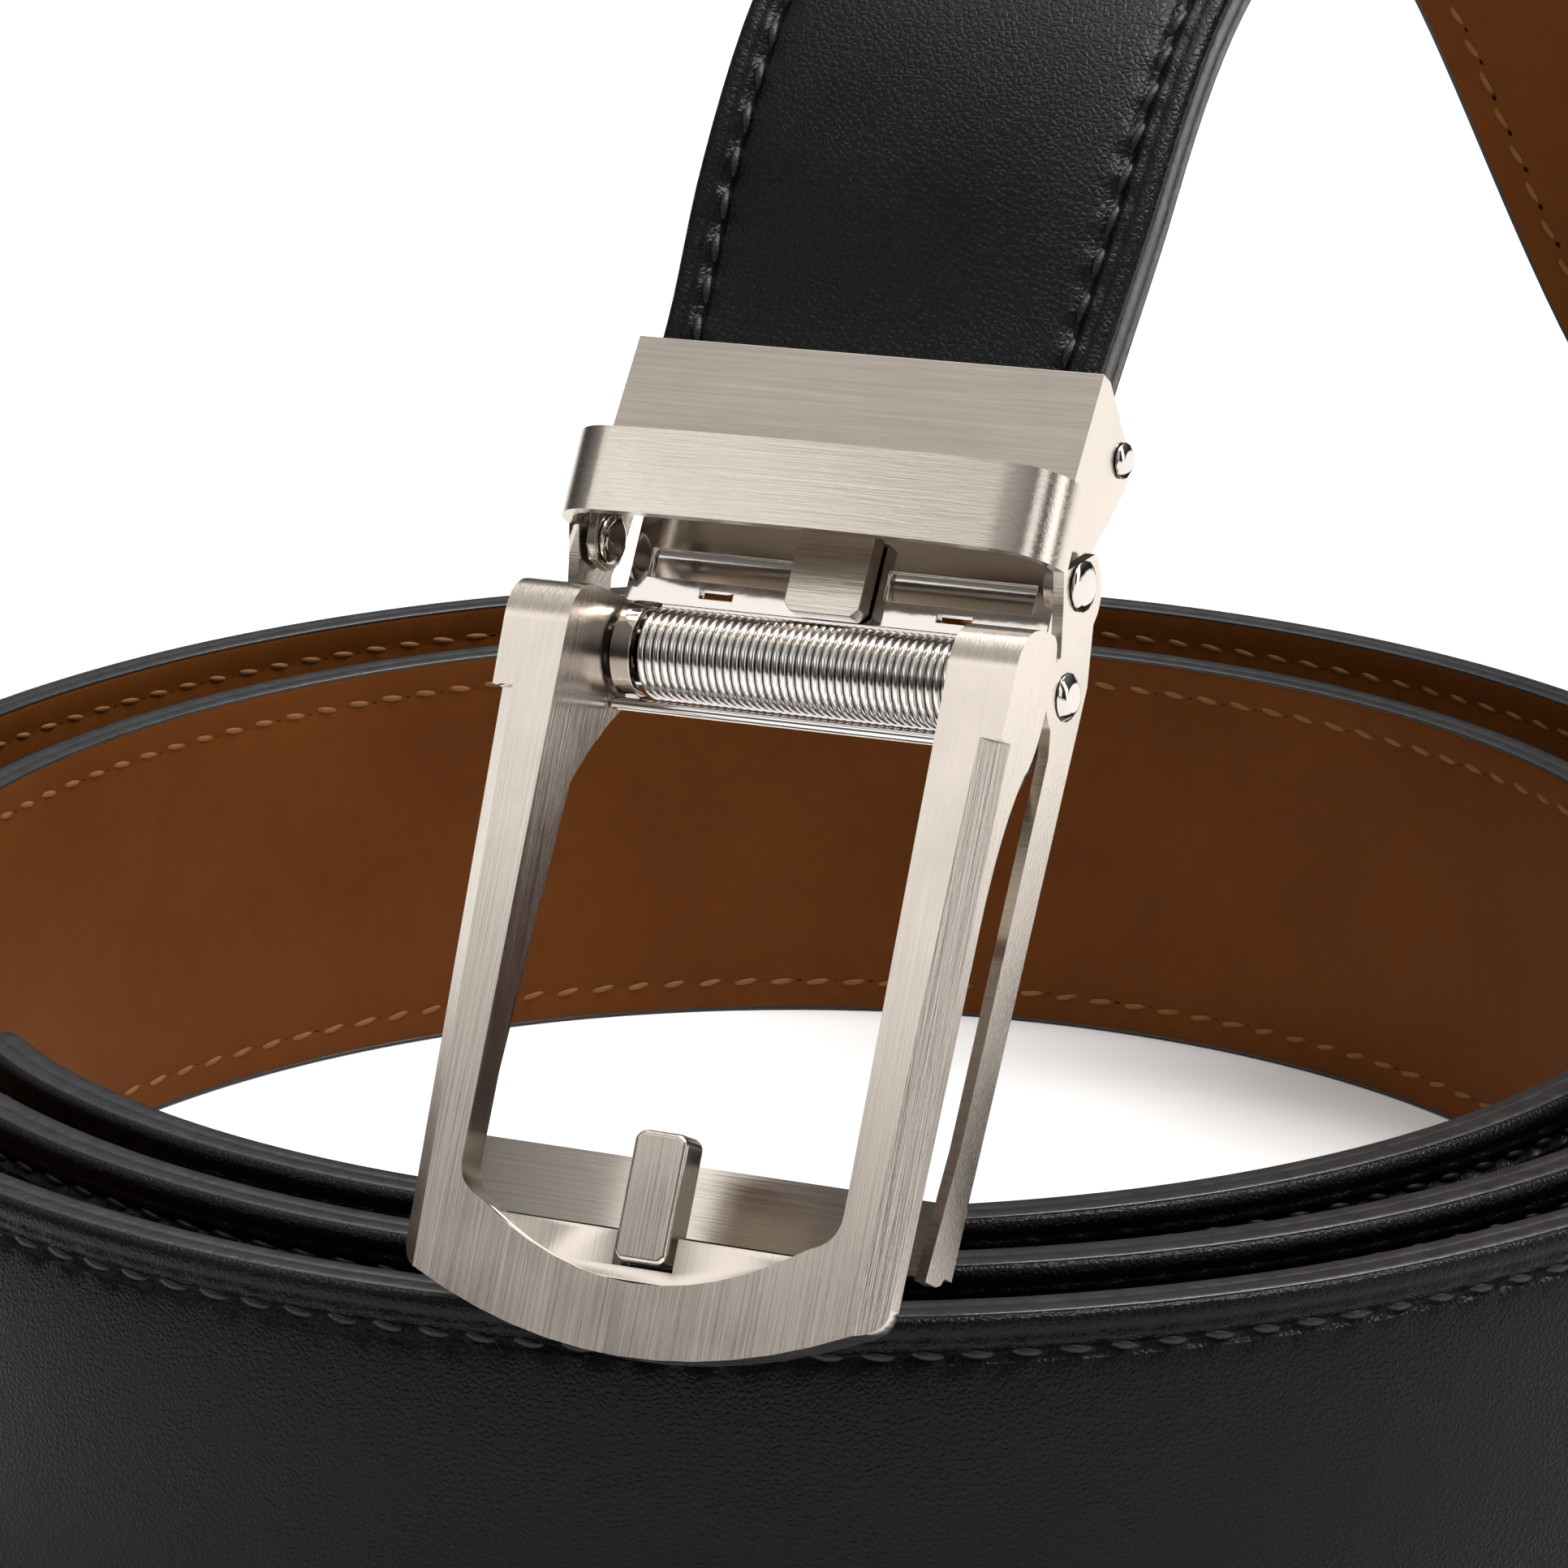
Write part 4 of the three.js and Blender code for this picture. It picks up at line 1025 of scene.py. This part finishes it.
@dataclass
class Chassis(Fitting):
    """The keeper loop with its ears, flanges and crossbar, and what is riveted to it."""

    copies: tuple[RoundedCopy, ...] = (
        RoundedCopy("chassis", "loop_and_flanges", "chassis_brushed", 0.14, Body.CHASSIS,
                    Slot.BRUSHED_NICKEL, 3),
        *[RoundedCopy(node, name, finish, 0.07, Body.CHASSIS, slot) for node, name, finish, slot in (
            ("back_plate", "back_plate_sheet", "polished", Slot.POLISHED_NICKEL),
            ("centre_post", "post_block", "chassis_brushed", Slot.BRUSHED_NICKEL),
            ("swivel_rivet_left", "rivet_left", "polished", Slot.POLISHED_NICKEL),
            ("swivel_rivet_right", "rivet_right", "polished", Slot.POLISHED_NICKEL),
            ("hinge_pin", "hinge_rod", "polished", Slot.POLISHED_NICKEL))],
    )
    hinge_drop: float = 7.3
    hinge_setback: float = 1.4
    spring_radius: float = 3.2
    spring_wire: float = 0.55
    spring_turns: int = 42
    spring_length: float = 26.4
    spring_middle: float = 0.75
    steps_a_turn: int = 28
    wire_sides: int = 8

    def build(self, finishes: dict[str, bpy.types.Material]) -> list[bpy.types.Object]:
        """Builds the chassis's copies and its spring.

        Args:
            finishes: The materials by name.

        Returns:
            The pieces.
        """
        pieces = super().build(finishes)
        pieces.append(settled(self.spring(finishes["spring"]), Body.CHASSIS))
        return pieces

    def spring(self, steel: bpy.types.Material) -> bpy.types.Object:
        """Winds the spring as a real helix of wire.

        Args:
            steel: The wire's material.

        Returns:
            The spring, which replaces its ribbed tube.
        """
        turn = np.array(hanging_turn(Lean.CHASSIS.value))
        axis = swivel_place() + turn @ np.array((0.0, -self.hinge_drop, -self.hinge_setback))
        count = self.spring_turns * self.steps_a_turn
        shares = np.linspace(0.0, 1.0, count + 1)
        angle = shares * self.spring_turns * 2 * math.pi
        radius = self.spring_radius - self.spring_wire / 2
        x = self.spring_middle + (shares - 0.5) * (self.spring_length - self.spring_wire)
        zero = np.zeros_like(x)
        radial = np.stack([zero, np.cos(angle), np.sin(angle)], axis=1)
        middle = np.stack([x, zero, zero], axis=1) + radial * radius
        beside = np.tile((1.0, 0.0, 0.0), (count + 1, 1))
        around = np.linspace(0.0, 2 * math.pi, self.wire_sides, endpoint=False)
        local = (middle[:, None, :] + self.spring_wire / 2 * (
            np.cos(around)[None, :, None] * radial[:, None, :]
            + np.sin(around)[None, :, None] * beside[:, None, :]))
        points = local.reshape(-1, 3) @ turn.T + axis
        sides = self.wire_sides
        faces = [[r * sides + a, r * sides + (a + 1) % sides, (r + 1) * sides + (a + 1) % sides,
                  (r + 1) * sides + a] for r in range(count) for a in range(sides)]
        faces.append(list(range(sides))[::-1])
        faces.append(list(range(count * sides, (count + 1) * sides)))
        piece = mesh_object("spring_wire", points * MM, faces, [steel])
        outward_faces(piece)
        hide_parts("spring_coil")
        return piece


@dataclass
class FrontFrame(Fitting):
    """The hinged front frame with its prong and the spring's ear and bar."""

    copies: tuple[RoundedCopy, ...] = (
        RoundedCopy("front_frame", "brushed_frame", "frame_brushed", 0.22, Body.FRAME,
                    Slot.BRUSHED_NICKEL, 3),
        RoundedCopy("prong_tip", "prong", "frame_brushed", 0.75, Body.FRAME, Slot.BRUSHED_NICKEL, 4),
        RoundedCopy("spring_ear", "rolled_ear", "polished", 0.06, Body.FRAME, Slot.POLISHED_NICKEL),
        RoundedCopy("spring_bar", "spring_rod", "spring", 0.0, Body.FRAME, Slot.SPRING_STEEL),
    )


# The studio


@dataclass
class Studio:
    """A pale floor, soft lights and the photograph's camera."""

    camera_place: tuple[float, float, float] = (-9.989, -504.872, 209.155)
    camera_tilt: float = 72.107
    lens: float = 157.24
    sensor: float = 36.0
    floor_size: float = 12000.0
    lit_middle: tuple[float, float, float] = (0.0, 0.0, 60.0)
    # Each lamp's name, place, width, height (in millimetres) and power (in watts)
    lamps: tuple = (
        ("key_softbox", (-915.0, -528.0, 745.0), 1000.0, 300.0, 1.25),
        ("top_softbox", (100.0, 300.0, 1400.0), 1400.0, 1400.0, 15.0),
        ("overhead_strip", (450.0, 0.0, 1300.0), 150.0, 1000.0, 18.0),
        ("right_strip", (900.0, -300.0, 350.0), 300.0, 900.0, 2.0),
        ("front_strip", (560.0, -760.0, 380.0), 250.0, 600.0, 0.8))
    # The backdrop's brightness in reflections, by the sine of the height over the horizon
    backdrop_levels: tuple = ((0.0, 0.07), (0.18, 0.06), (0.38, 0.2), (0.6, 0.42), (1.0, 0.85))
    backdrop_tint: tuple[float, float, float] = (1.0, 0.985, 0.965)
    # The backdrop fades from its left share to its right share
    backdrop_sides: tuple = (("From Min", -0.6), ("From Max", 0.7), ("To Min", 1.25), ("To Max", 0.5))

    def build(self) -> None:
        """Builds the floor, the world, the lights and the camera."""
        self.floor()
        self.world()
        for lamp in self.lamps:
            self.lamp(*lamp)
        self.camera()

    def floor(self) -> None:
        """Lays the pale floor."""
        half = self.floor_size * MM / 2
        points = np.array([(-half, -half, 0.0), (half, -half, 0.0), (half, half, 0.0), (-half, half, 0.0)])
        board = NodeBoard("pale_floor")
        board.finish(Base_Color=(0.92, 0.915, 0.91, 1.0), Roughness=0.6, Specular_IOR_Level=0.25)
        mesh_object("floor", points, [[0, 1, 2, 3]], [board.material])

    def world(self) -> None:
        """Makes a white backdrop that reflects darker near the horizon and to the right."""
        world = bpy.data.worlds.new("studio_world")
        world.use_nodes = True
        tree = world.node_tree
        backdrop = tree.nodes["Background"]
        backdrop.inputs["Color"].default_value = (1.0, 1.0, 1.0, 1.0)
        place = tree.nodes.new("ShaderNodeTexCoord")
        parts = tree.nodes.new("ShaderNodeSeparateXYZ")
        ramp = tree.nodes.new("ShaderNodeValToRGB")
        tree.links.new(place.outputs["Generated"], parts.inputs[0])
        tree.links.new(parts.outputs["Z"], ramp.inputs[0])
        while len(ramp.color_ramp.elements) < len(self.backdrop_levels):
            ramp.color_ramp.elements.new(1.0)
        for element, (position, level) in zip(ramp.color_ramp.elements, self.backdrop_levels):
            element.position = position
            element.color = shaded(self.backdrop_tint, level)
        reflected = tree.nodes.new("ShaderNodeBackground")
        side = tree.nodes.new("ShaderNodeMapRange")
        for name, number in self.backdrop_sides:
            side.inputs[name].default_value = number
        tree.links.new(parts.outputs["X"], side.inputs["Value"])
        tree.links.new(side.outputs["Result"], reflected.inputs["Strength"])
        tree.links.new(ramp.outputs["Color"], reflected.inputs["Color"])
        path = tree.nodes.new("ShaderNodeLightPath")
        mix = tree.nodes.new("ShaderNodeMixShader")
        tree.links.new(path.outputs["Is Camera Ray"], mix.inputs[0])
        tree.links.new(reflected.outputs[0], mix.inputs[1])
        tree.links.new(backdrop.outputs[0], mix.inputs[2])
        tree.links.new(mix.outputs[0], tree.nodes["World Output"].inputs[0])
        bpy.context.scene.world = world

    def lamp(self, name: str, place: tuple[float, float, float], wide: float, tall: float,
             power: float) -> None:
        """Hangs a soft rectangular light that looks at the belt.

        Args:
            name: The light's name.
            place: Where it hangs, in millimetres.
            wide: Its width in millimetres.
            tall: Its height in millimetres.
            power: Its power in watts.
        """
        light = bpy.data.lights.new(name, "AREA")
        light.shape = "RECTANGLE"
        light.size, light.size_y = wide * MM, tall * MM
        light.energy = power
        holder = bpy.data.objects.new(name, light)
        holder.location = Vector(place) * MM
        target = Vector(self.lit_middle) * MM
        holder.rotation_euler = (target - holder.location).to_track_quat("-Z", "Y").to_euler()
        bpy.context.scene.collection.objects.link(holder)

    def camera(self) -> None:
        """Sets up the photograph's camera."""
        data = bpy.data.cameras.new("photo_camera")
        data.lens = self.lens
        data.sensor_width = self.sensor
        data.clip_start = 0.01
        data.clip_end = 50.0
        holder = bpy.data.objects.new("photo_camera", data)
        holder.location = Vector(self.camera_place) * MM
        holder.rotation_euler = (math.radians(self.camera_tilt), 0.0, 0.0)
        bpy.context.scene.collection.objects.link(holder)
        bpy.context.scene.camera = holder


def brushed(name: str, lean: Lean, streaks: tuple[float, float, float]) -> Metal:
    """Gives brushed nickel whose streaks follow one hanging group.

    Args:
        name: The finish's name.
        lean: The group whose directions the streaks follow.
        streaks: Streaks for each metre across, up and out of the group's face.

    Returns:
        The finish.
    """
    turn = hanging_turn(lean.value).transposed().to_euler("XYZ")
    return Metal(name, (0.58, 0.52, 0.46), 0.2, 0.012 * MM, streaks, tuple(turn))


def all_finishes() -> dict[str, bpy.types.Material]:
    """Builds every material once.

    Returns:
        The materials by name.
    """
    upright, level = (4200.0, 70.0, 4200.0), (70.0, 4200.0, 4200.0)
    finishes = {
        "grain": GrainLeather("black_grain_leather", (0.0022, 0.0022, 0.0023), (0.0036, 0.0036, 0.0037),
                              roughness=0.3, grain_cells=2100.0, grain_depth=0.05 * MM, gloss=0.12),
        "lining": SmoothLeather("brown_lining_leather", (0.1, 0.0265, 0.0023), (0.128, 0.037, 0.0038), 0.6),
        "edge": EdgePaint("dark_edge_paint", (0.011, 0.0105, 0.0105), 0.33),
        "dark_thread": Thread("black_thread", (0.004, 0.004, 0.0042), 0.4, 0.3),
        "tan_thread": Thread("tan_thread", (0.21, 0.088, 0.026), 0.6, 0.2),
        # Painted shade: the near-black finish of the flat discs that stand for the needle holes.
        "hole": Thread("needle_hole", (0.003, 0.0025, 0.002), 0.8, 0.1),
        "plastic": MouldedPlastic("track_plastic", (0.012, 0.012, 0.013), 0.45),
        "clamp_brushed": brushed("clamp_brushed_nickel", Lean.CLAMP, level),
        "chassis_brushed": brushed("chassis_brushed_nickel", Lean.CHASSIS, level),
        "frame_brushed": brushed("frame_brushed_nickel", Lean.FRAME, upright),
        "polished": Metal("polished_nickel", (0.52, 0.485, 0.45), 0.07),
        "spring": Metal("bright_spring_steel", (0.68, 0.66, 0.64), 0.13),
    }
    return {name: finish.material() for name, finish in finishes.items()}


def main() -> None:
    """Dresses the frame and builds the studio."""
    logging.basicConfig(level=logging.INFO, format="%(name)s: %(message)s")
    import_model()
    finishes = all_finishes()
    pieces = Strap(StrapRoute()).build(finishes)
    for part in (RatchetTrack(), Clamp(), Chassis(), FrontFrame()):
        pieces.extend(part.build(finishes))
    Studio().build()
    bpy.context.scene.view_settings.view_transform = "Standard"
    LOG.info("%d pieces dressed", len(pieces))


if __name__ == "__main__":
    main()
